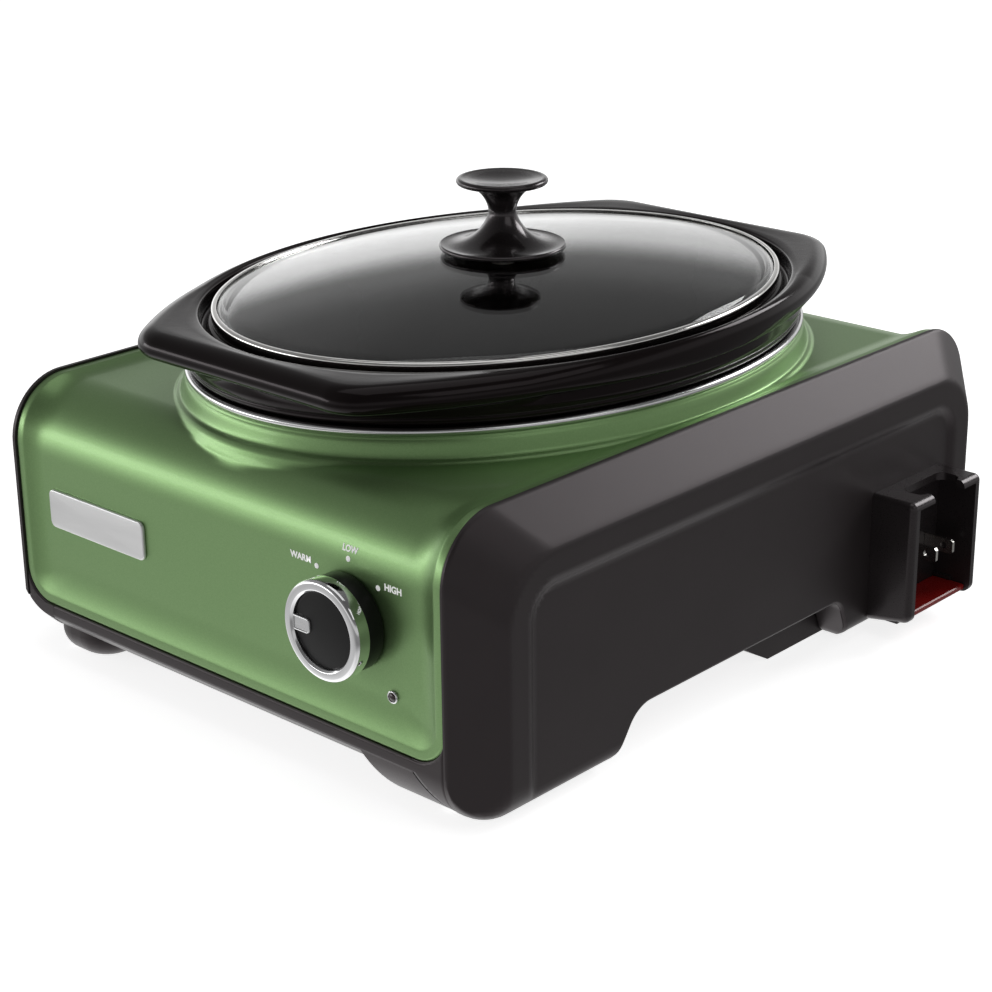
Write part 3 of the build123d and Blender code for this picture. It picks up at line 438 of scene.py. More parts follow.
def build_wrap():
    pts, keep_edges = [], []

    def outline(d, step):
        """Points on the line at distance d inside the outline, in (x, v)."""
        r = max(R_PANEL - d, 0.5)
        out = []
        xs, vf, vr = W2 - d, -(LEN_F - d), LEN_R - d
        n_x = int((2 * (xs - r)) / step)
        n_v = int((vr - vf - 2 * r) / (step * 0.75))
        out += [(-xs + r + 2 * (xs - r) * i / n_x, vf) for i in range(n_x + 1)]
        out += [(xs - r + r * math.sin(t), vf + r - r * math.cos(t)) for t in np.linspace(0, np.pi / 2, 9)[1:-1]]
        out += [(xs, vf + r + (vr - vf - 2 * r) * i / n_v) for i in range(n_v + 1)]
        out += [(xs - r + r * math.cos(t), vr - r + r * math.sin(t)) for t in np.linspace(0, np.pi / 2, 9)[1:-1]]
        out += [(xs - r - 2 * (xs - r) * i / n_x, vr) for i in range(n_x + 1)]
        out += [(-xs + r - r * math.sin(t), vr - r + r * math.cos(t)) for t in np.linspace(0, np.pi / 2, 9)[1:-1]]
        out += [(-xs, vr - r - (vr - vf - 2 * r) * i / n_v) for i in range(n_v + 1)]
        out += [(-xs + r - r * math.cos(t), vf + r - r * math.sin(t)) for t in np.linspace(0, np.pi / 2, 9)[1:-1]]
        return out

    def add_loop(loop):
        start = len(pts)
        pts.extend(loop)
        n = len(loop)
        keep_edges.extend((start + i, start + (i + 1) % n) for i in range(n))

    add_loop(outline(0.0, 3.0))
    for d in (0.35, 0.75, 1.15, 2.2, 3.3, 3.7, 3.95, 4.2, 4.5, 5.0, 5.7, 6.6, 7.7, 9.0, 10.4, 11.8, 13.2):
        for x, v in outline(d, 3.0):
            y, _ = prof_inner(np.array([v]))
            if d < 3.5 or collar_off(x, y[0]) > 12.5:
                pts.append((x, v))
    # rings round the collar
    n = 400
    t = np.linspace(0, 2 * np.pi, n, endpoint=False)
    inner = []
    for d in (0.0, 0.2, 0.35, 0.55, 0.8, 1.0, 1.25, 1.55, 1.9, 2.3, 2.65, 3.0, 3.4, 3.9, 4.6, 5.3, 5.9, 6.4, 6.9, 7.6, 8.6, 9.8, 11.2, 12.6):
        # offset normal to the oval
        gx, gy = np.cos(t) / COL_A, np.sin(t) / COL_B
        g = np.hypot(gx, gy)
        x = COL_A * np.cos(t) + d * gx / g
        y = COL_B * np.sin(t) + d * gy / g
        v = y_to_v(y)
        if d == 0.0:
            inner = list(zip(x, v))
            continue
        ok = edge_dist(x, v) > 3.45
        pts.extend(zip(x[ok], v[ok]))
    add_loop(inner)
    # field points
    gx = np.arange(-104.0, 104.1, 4.0)
    vs = []
    for sgn, L, R in ((-1, LEN_F, R_F), (1, LEN_R, R_R)):
        T = -YF - R
        B = R * np.pi / 2
        vs += list(sgn * np.arange(2.0, T - 1, 4.0))
        vs += list(sgn * (T + np.linspace(0, B, 25)))
        vs += list(sgn * np.arange(T + B + 3.0, L - 13.6, 4.0))
    gx, gv = np.meshgrid(gx, np.array(sorted(vs)))
    gx, gv = gx.ravel(), gv.ravel()
    gy, _ = prof_inner(gv)
    ok = (edge_dist(gx, gv) > 13.9) & (collar_off(gx, gy) > 13.4)
    pts.extend(zip(gx[ok], gv[ok]))

    v2, _, faces, _, _, _ = delaunay_2d_cdt([Vector((float(a), float(b))) for a, b in pts], keep_edges, [], 0, 1e-5)
    P2 = np.array([tuple(p) for p in v2], float)
    F = np.array([f[:] for f in faces if len(f) == 3], int)
    c = P2[F].mean(1)
    cy, _ = prof_inner(c[:, 1])
    good = (edge_dist(c[:, 0], c[:, 1]) > 0.002) & (np.hypot(c[:, 0] / COL_A, cy / COL_B) > 1.0001)
    F = F[good]
    used = np.unique(F)
    remap = -np.ones(len(P2), int)
    remap[used] = np.arange(len(used))
    F = remap[F]
    P2 = P2[used]
    # hole for the dial shaft and the lamp are behind their skirts, so the sheet stays whole there
    x, v = P2[:, 0], P2[:, 1]
    P = wrap_point(x, v)
    h = 0.12
    du = (wrap_point(x + h, v) - wrap_point(x - h, v))
    dv = (wrap_point(x, v + h) - wrap_point(x, v - h))
    Nn = np.cross(du, dv)
    Nn /= np.linalg.norm(Nn, axis=1, keepdims=True)
    # orient faces along the normal
    fn = np.cross(P[F[:, 1]] - P[F[:, 0]], P[F[:, 2]] - P[F[:, 0]])
    flip = (fn * Nn[F].mean(1)).sum(1) < 0
    F[flip] = F[flip][:, ::-1]
    # second skin
    thick = 1.0
    Q = P - Nn * thick
    m = len(P)
    back = F[:, ::-1] + m
    # rim faces along open edges
    e = np.vstack([F[:, [0, 1]], F[:, [1, 2]], F[:, [2, 0]]])
    key = np.sort(e, 1)
    _, idx, cnt = np.unique(key, axis=0, return_index=True, return_counts=True)
    rim = [(b_, a_, a_ + m, b_ + m) for a_, b_ in e[idx[cnt == 1]]]
    V = np.vstack([P, Q])
    faces = [tuple(f) for f in F] + [tuple(f) for f in back] + rim
    ln = [Nn[i] for f in F for i in f] + [-Nn[i - m] for f in back for i in f] + [(0, 0, 0)] * (4 * len(rim))
    return add_mesh("wrap_sheet", V, faces, "body", "sage_paint", ("wrap_shell",), loop_normals=ln, fix=False)


build_wrap()

# ------------------------------------------------------------------ heating pan
pan_path = fillet_path(
    [(-107.0, 31.0), (-8.0, 31.0), (-1.0, 44.0), (-1.0, 122.0), (-0.9, 125.2), (3.6, 125.2), (3.6, 122.2), (0.0, 122.4), (0.0, 44.0), (-8.0, 30.0), (-107.0, 30.0)],
    [0, 12, 14, 2, 1.5, 1.55, 1.3, 0.6, 14, 12, 0], 7)
rings = []
for d, z in pan_path:
    if d < -100:
        a, b = 0.5, 0.5
    else:
        a, b = 107.0 + d, 139.0 + d
    rings.append(oval_ring(a, b, z))
V, F = loft(rings, cap_start=True, cap_end=True)
add_mesh("pan_shell", V, F, "body", "pan_metal", ("heating_pan",), angle=50)

# ------------------------------------------------------------------ crock
FL_X, FL_R, FL_Y, FL_C = 110.5, 226.0, 146.5, 20.0


def flange_outline():
    cx = FL_X - FL_R
    yc = FL_Y - FL_C
    xc = cx + math.sqrt((FL_R - FL_C) ** 2 - yc * yc)
    k = FL_R / (FL_R - FL_C)
    tx, ty = cx + (xc - cx) * k, yc * k
    a1 = math.atan2(ty, tx - cx)
    q = [(cx + FL_R * math.cos(t), FL_R * math.sin(t)) for t in np.linspace(0, a1, 160)]
    c0 = math.atan2(ty - yc, tx - xc)
    q += [(xc + FL_C * math.cos(t), yc + FL_C * math.sin(t)) for t in np.linspace(c0, np.pi / 2, 40)[1:]]
    q += [(x, FL_Y) for x in np.linspace(xc, 0, 60)[1:]]
    q = np.array(q)
    ang = np.arctan2(q[:, 1], q[:, 0])
    rad = np.hypot(q[:, 0], q[:, 1])
    t = np.abs(np.arctan2(ST, CT))
    t = np.where(t > np.pi / 2, np.pi - t, t)
    return np.interp(t, ang, rad)


R_FL = flange_outline()


def crock_rows():
    rows = []

    def oval(a, b, z):
        rows.append(polar_ring(oval_r(a, b), z))

    # underside with a foot ring, then the wall
    for a, z in ((1.0, 38.6), (60.0, 38.6), (78.0, 38.4), (82.0, 37.3), (84.0, 37.0), (88.0, 37.0), (90.5, 37.3), (93.5, 38.2), (96.0, 39.6),
                 (98.2, 41.6), (99.8, 44.2), (101.0, 47.6), (101.8, 51.5), (102.1, 56.0), (102.6, 80.0), (103.1, 104.0), (103.4, 124.4)):
        oval(a, a + 32.0 if a > 2 else 1.0, z)
    for a, z in ((103.6, 125.1), (104.2, 125.5), (105.2, 125.6), (107.0, 125.62), (107.9, 125.8), (108.6, 126.3), (109.05, 127.1), (109.25, 127.9),
                 (109.25, 128.15), (109.05, 128.35), (109.1, 128.6), (109.4, 128.85), (109.7, 129.6), (109.95, 130.4), (110.15, 131.2)):
        oval(a, a + 32.0, z)
    # underside of the lugs: a hollow sweep out of the belly, nothing at the middle of the sides
    r0 = oval_r(110.15, 142.15)
    over = np.maximum(R_FL - r0, 0.05)
    edge = np.minimum(over, 4.2)
    for t in np.linspace(8, 90, 11):
        c, q = math.cos(math.radians(t)), math.sin(math.radians(t))
        rows.append(polar_ring(r0 + (over - edge) * (1 - c), 131.2 + 3.6 * q))
    # rounded edge of the flange
    for t in np.linspace(-90, 0, 11)[1:]:
        rows.append(polar_ring(R_FL - edge * (1 - math.cos(math.radians(t))), 138.8 + 4.0 * math.sin(math.radians(t))))
    seat = oval_r(107.6, 136.0)
    ins = np.clip(0.8 * (R_FL - seat), 1.5, 7.5)
    for t in np.linspace(0, 90, 14)[1:]:
        c, q = math.cos(math.radians(t)), math.sin(math.radians(t))
        rows.append(polar_ring(R_FL - ins * (1 - c), 138.8 + 6.4 * q))
    for k, z in ((0.75, 145.15), (0.5, 145.05), (0.25, 144.95)):
        rows.append(polar_ring((R_FL - ins) * k + seat * (1 - k), z))
    # top edge of the seat, moat, ledge, bowl
    for d, z in ((1.2, 144.9), (0.55, 144.7), (0.15, 144.3), (0.0, 143.6), (0.0, 139.4), (-0.25, 138.4), (-0.9, 137.75), (-1.6, 137.6),
                 (-2.3, 137.75), (-2.95, 138.4), (-3.2, 139.4), (-3.25, 140.4), (-3.5, 140.9), (-4.1, 141.1)):
        oval(106.2 + d, 134.6 + d, z)
    for d, z in ((1.6, 141.1), (0.7, 140.95), (0.1, 140.4), (0.0, 139.6), (-0.6, 120.0), (-1.2, 100.0), (-1.8, 80.0), (-2.3, 64.0), (-3.0, 57.0), (-4.4, 52.2),
                 (-6.6, 48.6), (-9.6, 46.0), (-13.0, 44.7), (-17.0, 44.2), (-24.0, 44.0), (-60.0, 44.0)):
        oval(95.0 + d, 122.0 + d, z)
    oval(1.0, 1.0, 44.0)
    return rows


V, F = loft(crock_rows(), cap_start=True, cap_end=True)
add_mesh("crock_pot", V, F, "crock", "crock_glaze", ("crock",), angle=60)

# ------------------------------------------------------------------ lid
LID_A, LID_B, LID_Z0, LID_Z1, APEX = 101.8, 129.6, 141.4, 145.7, 157.9
GA, GB = LID_A - 1.0, LID_B - 1.0
rise = APEX - (LID_Z1 - 0.7)
RS = (GA * GA + rise * rise) / (2 * rise)
ZS = APEX - RS


def dome(f, t):
    return ZS + math.sqrt((RS - t) ** 2 - (f * GA) ** 2)


rings = []
fr = [0.026, 0.06, 0.12, 0.2, 0.3, 0.4, 0.5, 0.6, 0.7, 0.8, 0.86, 0.91, 0.95, 0.98, 0.995]
for f in fr:
    rings.append(oval_ring(GA * f, GB * f, dome(f, 0.0)))
rings.append(oval_ring(GA, GB, dome(1.0, 0) - 0.35))
rings.append(oval_ring(GA, GB, LID_Z0 + 1.2))
rings.append(oval_ring(GA - 0.4, GB - 0.4, LID_Z0 + 0.85))
rings.append(oval_ring(GA - 4.0, GB - 4.0, LID_Z0 + 0.85))
for f in [0.95, 0.91, 0.86, 0.8, 0.7, 0.6, 0.5, 0.4, 0.3, 0.2, 0.12, 0.06, 0.026]:
    z = dome(f, 3.0)
    rings.append(oval_ring(GA * f, GB * f, max(z, LID_Z0 + 0.86)))
V, F = loft(rings, closed_rows=True)
add_mesh("lid_pane", V, F, "lid", "lid_glass", ("lid_glass",), angle=50)

rim_path = fillet_path([(0.0, LID_Z0), (0.0, LID_Z1 + 0.6), (-2.3, LID_Z1 + 0.6), (-2.3, LID_Z1), (-0.85, LID_Z1 - 0.3), (-0.85, LID_Z0 + 0.75), (-4.6, LID_Z0 + 0.75), (-4.6, LID_Z0)],
                       [0.5, 1.3, 0.3, 0.2, 0.3, 0.1, 0.3, 0.3], 5, closed=True)
V, F = loft([oval_ring(LID_A + d, LID_B + d, z) for d, z in rim_path], closed_rows=True)
add_mesh("lid_band", V, F, "lid", "lid_steel", ("lid_rim",), angle=55)

KZ, KT = APEX + 0.9, 187.6
DISH_R = (15.6 ** 2 + 1.9 ** 2) / 3.8


def arc3(a, b, c, n):
    (x1, y1), (x2, y2), (x3, y3) = a, b, c
    d = 2 * (x1 * (y2 - y3) + x2 * (y3 - y1) + x3 * (y1 - y2))
    ux = ((x1 ** 2 + y1 ** 2) * (y2 - y3) + (x2 ** 2 + y2 ** 2) * (y3 - y1) + (x3 ** 2 + y3 ** 2) * (y1 - y2)) / d
    uy = ((x1 ** 2 + y1 ** 2) * (x3 - x2) + (x2 ** 2 + y2 ** 2) * (x1 - x3) + (x3 ** 2 + y3 ** 2) * (x2 - x1)) / d
    r = math.hypot(x1 - ux, y1 - uy)
    t1, t2, t3 = (math.atan2(y - uy, x - ux) for x, y in (a, b, c))

    def unwrap(t, ref):
        while t - ref > math.pi:
            t -= 2 * math.pi
        while t - ref < -math.pi:
            t += 2 * math.pi
        return t
    t2 = unwrap(t2, t1)
    t3 = unwrap(t3, t2)
    return [(ux + r * math.cos(t), uy + r * math.sin(t)) for t in np.linspace(t1, t3, n)]


path = [(2.1, KZ + 16.0), (2.1, KZ), (24.6, KZ)]
path += arc3((24.9, KZ), (25.85, KZ + 0.95), (25.2, KZ + 2.0), 7)
path += arc3((25.2, KZ + 2.0), (11.8, KZ + 5.4), (5.6, KZ + 14.6), 26)[1:]
path += arc3((5.6, KZ + 14.6), (8.2, KZ + 21.6), (16.9, KT - 2.6), 22)[1:]
path += arc3((16.9, KT - 2.6), (18.55, KT - 1.4), (17.3, KT), 9)[1:]
path += [(16.7, KT + 0.0), (16.1, KT - 0.06), (15.6, KT - 0.22)]
path += [(r, KT - 1.9 + DISH_R - math.sqrt(DISH_R ** 2 - r * r)) for r in (14.4, 12.0, 9.0, 6.0, 3.0, 0.6)]
V, F = lathe(path, 128)
add_mesh("lid_handle", V, F, "lid", "knob_black", ("lid_knob",), angle=40)


# ------------------------------------------------------------------ dial, lamp, badge
DC = (DIAL_X, YF, DIAL_Z)
path = fillet_path([(3.02, 9.8), (3.02, 2.9), (6.0, 2.9), (6.0, 5.6), (16.2, 5.6), (16.2, 0.7), (18.2, 0.7), (18.2, 7.9), (6.2, 7.9), (6.0, 10.1), (0.3, 10.1)],
                   [0, 0.3, 0.3, 0.3, 0.6, 0.3, 0.5, 0.6, 0, 0.2, 0], 5)
V, F = lathe(path, 112, "y", DC)
add_mesh("dial_skirt", V, F, "control_knob", "dial_black", ("knob_skirt",), angle=40)
path = fillet_path([(14.5, 8.0), (18.9, 8.0), (18.9, 14.3), (15.3, 14.3), (14.5, 13.5)], [0.2, 0.5, 1.6, 0.7, 0.3], 8, closed=True)
rings = []
t = np.linspace(0, 2 * np.pi, 144, endpoint=False)
for r, h in path:
    rings.append(np.stack([DIAL_X + r * np.cos(t), np.full(144, YF - h), DIAL_Z + r * np.sin(t)], 1))
V, F = loft(rings, closed_rows=True)
add_mesh("dial_ring", V, F, "control_knob", "chrome", ("knob_ring",), angle=50)
path = fillet_path([(6.1, 10.2), (6.1, 8.0), (14.4, 8.0), (14.4, 12.5)], [0, 0.2, 0.3, 0], 4)
path = list(map(tuple, path)) + [(14.2, 12.62)] + [(r, 13.42 - 0.8 * (r / 14.4) ** 2) for r in (13.4, 12.0, 10.0, 8.0, 6.0, 4.0, 2.0, 0.3)]
V, F = lathe([(0.4, 10.2)] + path, 112, "y", DC)
add_mesh("dial_face", V, F, "control_knob", "dial_black", ("knob_insert",), angle=40)


def plate(outline, heights, name, body, mat, repl, y0, cx, cz, angle=40):
    """Stack of (inset, height) rows of a closed outline, standing out of the front."""
    n = len(outline)
    o = np.array(outline, float)
    tan = np.roll(o, -1, 0) - np.roll(o, 1, 0)
    nrm = np.stack([tan[:, 1], -tan[:, 0]], 1)
    nrm /= np.linalg.norm(nrm, axis=1, keepdims=True)
    rings = []
    for inset, h in heights:
        q = o - nrm * inset
        rings.append(np.stack([cx + q[:, 0], np.full(n, y0 - h), cz + q[:, 1]], 1))
    V, F = loft(rings, cap_start=True, cap_end=True)
    return add_mesh(name, V, F, body, mat, repl, angle=angle)


def rounded(w, h, r, seg=8, step=2.0):
    pts = fillet_path([(-w / 2, -h / 2), (w / 2, -h / 2), (w / 2, h / 2), (-w / 2, h / 2)], [r] * 4, seg, closed=True)
    out = []
    for i in range(len(pts)):
        a, b = pts[i], pts[(i + 1) % len(pts)]
        k = max(1, int(np.linalg.norm(b - a) / step))
        out += [a + (b - a) * j / k for j in range(k)]
    return np.array(out)


ptr = fillet_path([(-14.3, -2.9), (-5.6, -2.9), (-5.6, 2.9), (-14.3, 2.9)], [0.8, 1.9, 1.9, 0.8], 9, closed=True)
plate(ptr, [(0.0, 12.2), (0.0, 13.6), (0.05, 13.85), (0.16, 14.0), (0.32, 14.05), (0.48, 14.0), (0.6, 13.8), (0.66, 13.65)], "dial_pointer", "control_knob",
      "satin_silver", ("knob_pointer",), YF, DIAL_X, DIAL_Z, angle=30)

LC = (LED_X, YF, LED_Z)
path = fillet_path([(1.75, -6.0), (1.75, 0.5), (1.95, 1.1), (2.5, 0.7), (2.5, 0.02), (2.1, 0.02), (2.1, -6.0)], [0.1, 0.3, 0.3, 0.35, 0.1, 0, 0.1], 5, closed=True)
t = np.linspace(0, 2 * np.pi, 64, endpoint=False)
rings = [np.stack([LED_X + r * np.cos(t), np.full(64, YF - h), LED_Z + r * np.sin(t)], 1) for r, h in path]
V, F = loft(rings, closed_rows=True)
add_mesh("lamp_ring", V, F, "body", "chrome", ("pilot_bezel",), angle=50)
path = [(0.3, -5.0), (1.7, -5.0), (1.7, 0.3)] + [(1.7 * math.cos(a), 0.3 + 1.0 * math.sin(a)) for a in np.linspace(0.15, 1.45, 8)]
V, F = lathe(path, 64, "y", LC)
add_mesh("lamp_dome", V, F, "body", "lamp_lens", ("pilot_lens",), angle=45)

plate(rounded(BADGE_W, BADGE_H, 2.8), [(0.25, 0.02), (0.0, 0.25), (0.0, 0.9), (0.12, 1.2), (0.4, 1.38), (0.8, 1.42), (1.2, 1.34), (1.5, 1.3)], "front_plate", "body",
      "badge_silver", ("badge_plate",), YF, BADGE_X, BADGE_Z)


# ------------------------------------------------------------------ marks by the dial
def panel_y(z):
    return YF + R_F - np.sqrt(R_F ** 2 - np.maximum(z - (ZI - R_F), 0) ** 2)


def words(text, x, z, cap, name):
    cu = bpy.data.curves.new(name, "FONT")
    cu.body = text
    cu.size = cap / 0.69
    cu.align_x = "CENTER"
    cu.align_y = "CENTER"
    cu.extrude = 0.03
    cu.offset = 0.05 * cap
    cu.resolution_u = 6
    ob = bpy.data.objects.new(name + "_src", cu)
    bpy.context.scene.collection.objects.link(ob)
    dg = bpy.context.evaluated_depsgraph_get()
    me = bpy.data.meshes.new_from_object(ob.evaluated_get(dg))
    bpy.data.objects.remove(ob)
    co = np.array([v.co[:] for v in me.vertices])
    V = np.stack([x + co[:, 0], panel_y(z + co[:, 1]) - 0.11 - co[:, 2], z + co[:, 1]], 1)
    F = [tuple(p.vertices) for p in me.polygons]
    add_mesh(name, V, F, "body", "label_white", angle=30)


def mark(x, z, r, name):
    path = [(0.15, 0.0), (r, 0.0), (r, 0.06), (r - 0.06, 0.09), (0.15, 0.09)]
    V, F = lathe(path, 32, "y", (x, YF, z))
    V = np.array(V)
    V[:, 1] += panel_y(V[:, 2]) - YF - 0.06
    add_mesh(name, V, F, "body", "label_white", angle=30)


words("WARM", 46.2, 84.3, 2.4, "mark_warm")
words("LOW", 70.8, 93.4, 2.2, "mark_low")
words("HIGH", 92.6, 84.3, 2.4, "mark_high")
mark(54.3, 83.0, 1.05, "dot_warm")
mark(70.4, 89.9, 1.05, "dot_low")
mark(85.2, 83.0, 1.05, "dot_high")

# ------------------------------------------------------------------ right end cap
CAP_D, CAP_Z, CAP_R = 161.5, 115.8, 25.8
XO, LIP, DROP, R_ROLL, R_SIDE, Z_FOOT = 135.1, 1.6, 16.8, 20.0, 15.0, 0.8
SLOPE = DROP / (17.1 - LIP)
RECESS, RAMP, PANEL_Y, PANEL_Z, PANEL_R = 2.5, 4.5, 135.2, 89.5, 15.0


def in_loop(x, y, loop):
    hit = np.zeros(len(x), bool)
    nxt = np.roll(loop, -1, 0)
    for (xa, ya), (xb, yb) in zip(loop, nxt):
        if ya == yb:
            continue
        cross = (ya > y) != (yb > y)
        hit ^= cross & (x < xa + (y - ya) / (yb - ya) * (xb - xa))
    return hit


def line_dist(x, y, line, closed=False):
    best = np.full(len(x), 1e9)
    n = len(line)
    for i in range(n if closed else n - 1):
        a, b = line[i], line[(i + 1) % n]
        ab = b - a
        t = np.clip(((x - a[0]) * ab[0] + (y - a[1]) * ab[1]) / max(float(ab @ ab), 1e-12), 0, 1)
        best = np.minimum(best, np.hypot(x - a[0] - t * ab[0], y - a[1] - t * ab[1]))
    return best


def divide(loop, step):
    out = []
    n = len(loop)
    for i in range(n):
        a, b = loop[i], loop[(i + 1) % n]
        k = max(1, int(math.ceil(np.linalg.norm(b - a) / step)))
        out += [a + (b - a) * j / k for j in range(k)]
    return np.array(out)


def edge_round(d, r):
    d = np.clip(d, 0, r)
    return r - np.sqrt(np.maximum(r * r - (r - d) ** 2, 0))


def smin(a, b, k):
    return -smax(-a, -b, k)


def open_rect(y, z, hy, z1, r):
    """Distance inside a shape with rounded top corners and no bottom."""
    a, b = hy - np.abs(y), z1 - z
    c = r - np.hypot(np.maximum(r - a, 0), np.maximum(r - b, 0))
    return np.where((a < r) & (b < r), c, np.minimum(a, b))


def shell(name, loops, step, front, back, hint, body, mat, repl=(), insets=(0.2, 0.5, 0.95, 1.5)):
    """Closed shell over a flat outline: front and back skins and the wall between them."""
    pts, keep = [], []
    for lp in loops:
        start, n = len(pts), len(lp)
        pts += [tuple(q) for q in lp]
        keep += [(start + i, start + (i + 1) % n) for i in range(n)]
    lo, hi = loops[0].min(0), loops[0].max(0)
    tan = np.roll(loops[0], -1, 0) - np.roll(loops[0], 1, 0)
    nrm = np.stack([-tan[:, 1], tan[:, 0]], 1)
    nrm /= np.linalg.norm(nrm, axis=1, keepdims=True)
    q = loops[0] + 0.02 * nrm
    if not in_loop(q[:, 0], q[:, 1], loops[0])[0]:
        nrm = -nrm
    for d in insets:
        q = loops[0] + d * nrm
        ok = in_loop(q[:, 0], q[:, 1], loops[0]) & (line_dist(q[:, 0], q[:, 1], loops[0], True) > 0.92 * d)
        pts += [tuple(v) for v in q[ok]]
    gu, gv = np.meshgrid(np.arange(lo[0] + 0.5, hi[0], step), np.arange(lo[1] + 0.5, hi[1], step))
    gu, gv = gu.ravel(), gv.ravel()
    ok = in_loop(gu, gv, loops[0])
    for h in loops[1:]:
        ok &= ~in_loop(gu, gv, h)
    gu, gv = gu[ok], gv[ok]
    far = np.ones(len(gu), bool)
    for lp in loops:
        far &= line_dist(gu, gv, lp, True) > max(insets[-1] + 0.4, 0.5 * step)
    pts += list(zip(gu[far], gv[far]))
    v2, _, faces, _, _, _ = delaunay_2d_cdt([Vector((float(a), float(b))) for a, b in pts], keep, [], 0, 1e-6)
    P2 = np.array([tuple(v) for v in v2], float)
    F = np.array([f[:] for f in faces if len(f) == 3], int)
    c = P2[F].mean(1)
    ok = in_loop(c[:, 0], c[:, 1], loops[0])
    for h in loops[1:]:
        ok &= ~in_loop(c[:, 0], c[:, 1], h)
    F = F[ok]
    used = np.unique(F)
    remap = -np.ones(len(P2), int)
    remap[used] = np.arange(len(used))
    F, P2 = remap[F], P2[used]
    u, v = P2[:, 0], P2[:, 1]

    def both(fn):
        P = fn(u, v)
        e = 0.06
        N = np.cross(fn(u + e, v) - fn(u - e, v), fn(u, v + e) - fn(u, v - e))
        N /= np.linalg.norm(N, axis=1, keepdims=True)
        return P, N
    P, N = both(front)
    Q, NB = both(back)
    hint = np.array(hint, float)
    if (N @ hint).mean() < 0:
        N = -N
    if (NB @ hint).mean() > 0:
        NB = -NB
    fn = np.cross(P[F[:, 1]] - P[F[:, 0]], P[F[:, 2]] - P[F[:, 0]])
    flip = (fn * N[F].mean(1)).sum(1) < 0
    F[flip] = F[flip][:, ::-1]
    m = len(P)
    rear = F[:, ::-1] + m
    e = np.vstack([F[:, [0, 1]], F[:, [1, 2]], F[:, [2, 0]]])
    _, idx, cnt = np.unique(np.sort(e, 1), axis=0, return_index=True, return_counts=True)
    wall = [(b_, a_, a_ + m, b_ + m) for a_, b_ in e[idx[cnt == 1]]]
    V = np.vstack([P, Q])
    # wall normals, eased along the outline
    WN = np.zeros((2 * m, 3))
    per = []
    for f in wall:
        g = np.cross(V[f[2]] - V[f[0]], V[f[3]] - V[f[1]])
        g /= max(np.linalg.norm(g), 1e-12)
        per.append(g)
        for k in f:
            WN[k] += g
    L = np.linalg.norm(WN, axis=1, keepdims=True)
    WN = WN / np.maximum(L, 1e-12)
    ln = [N[i] for f in F for i in f] + [NB[i - m] for f in rear for i in f]
    for f, g in zip(wall, per):
        ln += [WN[k] if WN[k] @ g > 0.6 else g for k in f]
    return add_mesh(name, V, [tuple(f) for f in F] + [tuple(f) for f in rear] + wall, body, mat, repl, loop_normals=ln, fix=False)


ARCH_LINE = fillet_path([(-86.6, Z_FOOT), (-72.5, 21.3), (57.0, 21.3), (64.8, Z_FOOT)], [0, 14, 8, 0], 14)
cap_loop = fillet_path(
    [(-CAP_D, Z_FOOT), (-86.6, Z_FOOT), (-72.5, 21.3), (57.0, 21.3), (64.8, Z_FOOT), (CAP_D, Z_FOOT), (CAP_D, CAP_Z), (-CAP_D, CAP_Z)],
    [R_ROLL, 4.0, 14.0, 8.0, 6.0, R_ROLL, CAP_R, CAP_R], 20, closed=True)
cap_loop = divide(cap_loop, 1.6)


def cap_inset(y, z):
    """How far the bevel has come in at a point of the side view."""
    lo_t, hi_t = np.full(len(y), -2.0), np.full(len(y), 70.0)
    for _ in range(26):
        t = (lo_t + hi_t) / 2
        inside = open_rect(y, z, CAP_D - t, CAP_Z - t, np.maximum(CAP_R - 0.12 * t, 1.0)) > 0
        lo_t = np.where(inside, t, lo_t)
        hi_t = np.where(inside, hi_t, t)
    return (lo_t + hi_t) / 2


def cap_x(y, z):
    t = cap_inset(y, z)
    x = W2 + LIP + t / SLOPE
    e = open_rect(y, z, PANEL_Y, PANEL_Z, PANEL_R)
    q = np.clip((e + 0.5) / (RAMP + 1.0), 0, 1)
    x = smin(x, XO - RECESS * q * q * (3 - 2 * q), 0.9)
    a, b = CAP_D - np.abs(y), z - Z_FOOT
    d = np.where((a < R_ROLL) & (b < R_ROLL), R_ROLL - np.hypot(np.maximum(R_ROLL - a, 0), np.maximum(R_ROLL - b, 0)), b)
    d = np.clip(d, 0, R_SIDE)
    x = smin(x, XO - R_SIDE + np.sqrt(np.maximum(R_SIDE ** 2 - (R_SIDE - d) ** 2, 0)), 1.6)
    x = x - edge_round(np.clip(t, 0, None), 0.7)
    x = x - edge_round(line_dist(y, z, ARCH_LINE), 1.5)
    return np.maximum(x, W2 + 0.5)


def cap_front(y, z):
    return np.stack([cap_x(y, z), y, z], -1)


def cap_back(y, z):
    a, b = CAP_D - np.abs(y), z - Z_FOOT
    d = np.where((a < R_ROLL) & (b < R_ROLL), R_ROLL - np.hypot(np.maximum(R_ROLL - a, 0), np.maximum(R_ROLL - b, 0)), np.minimum(a, b))
    d = np.minimum(d, line_dist(y, z, ARCH_LINE))
    k = np.clip((d - 3.0) / 2.0, 0, 1)
    x = W2 + 0.03 + k * np.maximum(cap_x(y, z) - 3.2 - W2 - 0.03, 0)
    return np.stack([x, y, z], -1)


CY0, CY1, CZ0, CZ1 = 95.65, 121.25, 21.7, 42.3
carrier_hole = divide(np.array([(CY0 - 0.2, CZ0 - 0.2), (CY1 + 0.2, CZ0 - 0.2), (CY1 + 0.2, CZ1 + 0.2), (CY0 - 0.2, CZ1 + 0.2)]), 2.0)
shell("right_cap", [cap_loop, carrier_hole], 1.9, cap_front, cap_back, (1, 0, 0), "body", "cap_plastic", ("right_end_cap",))


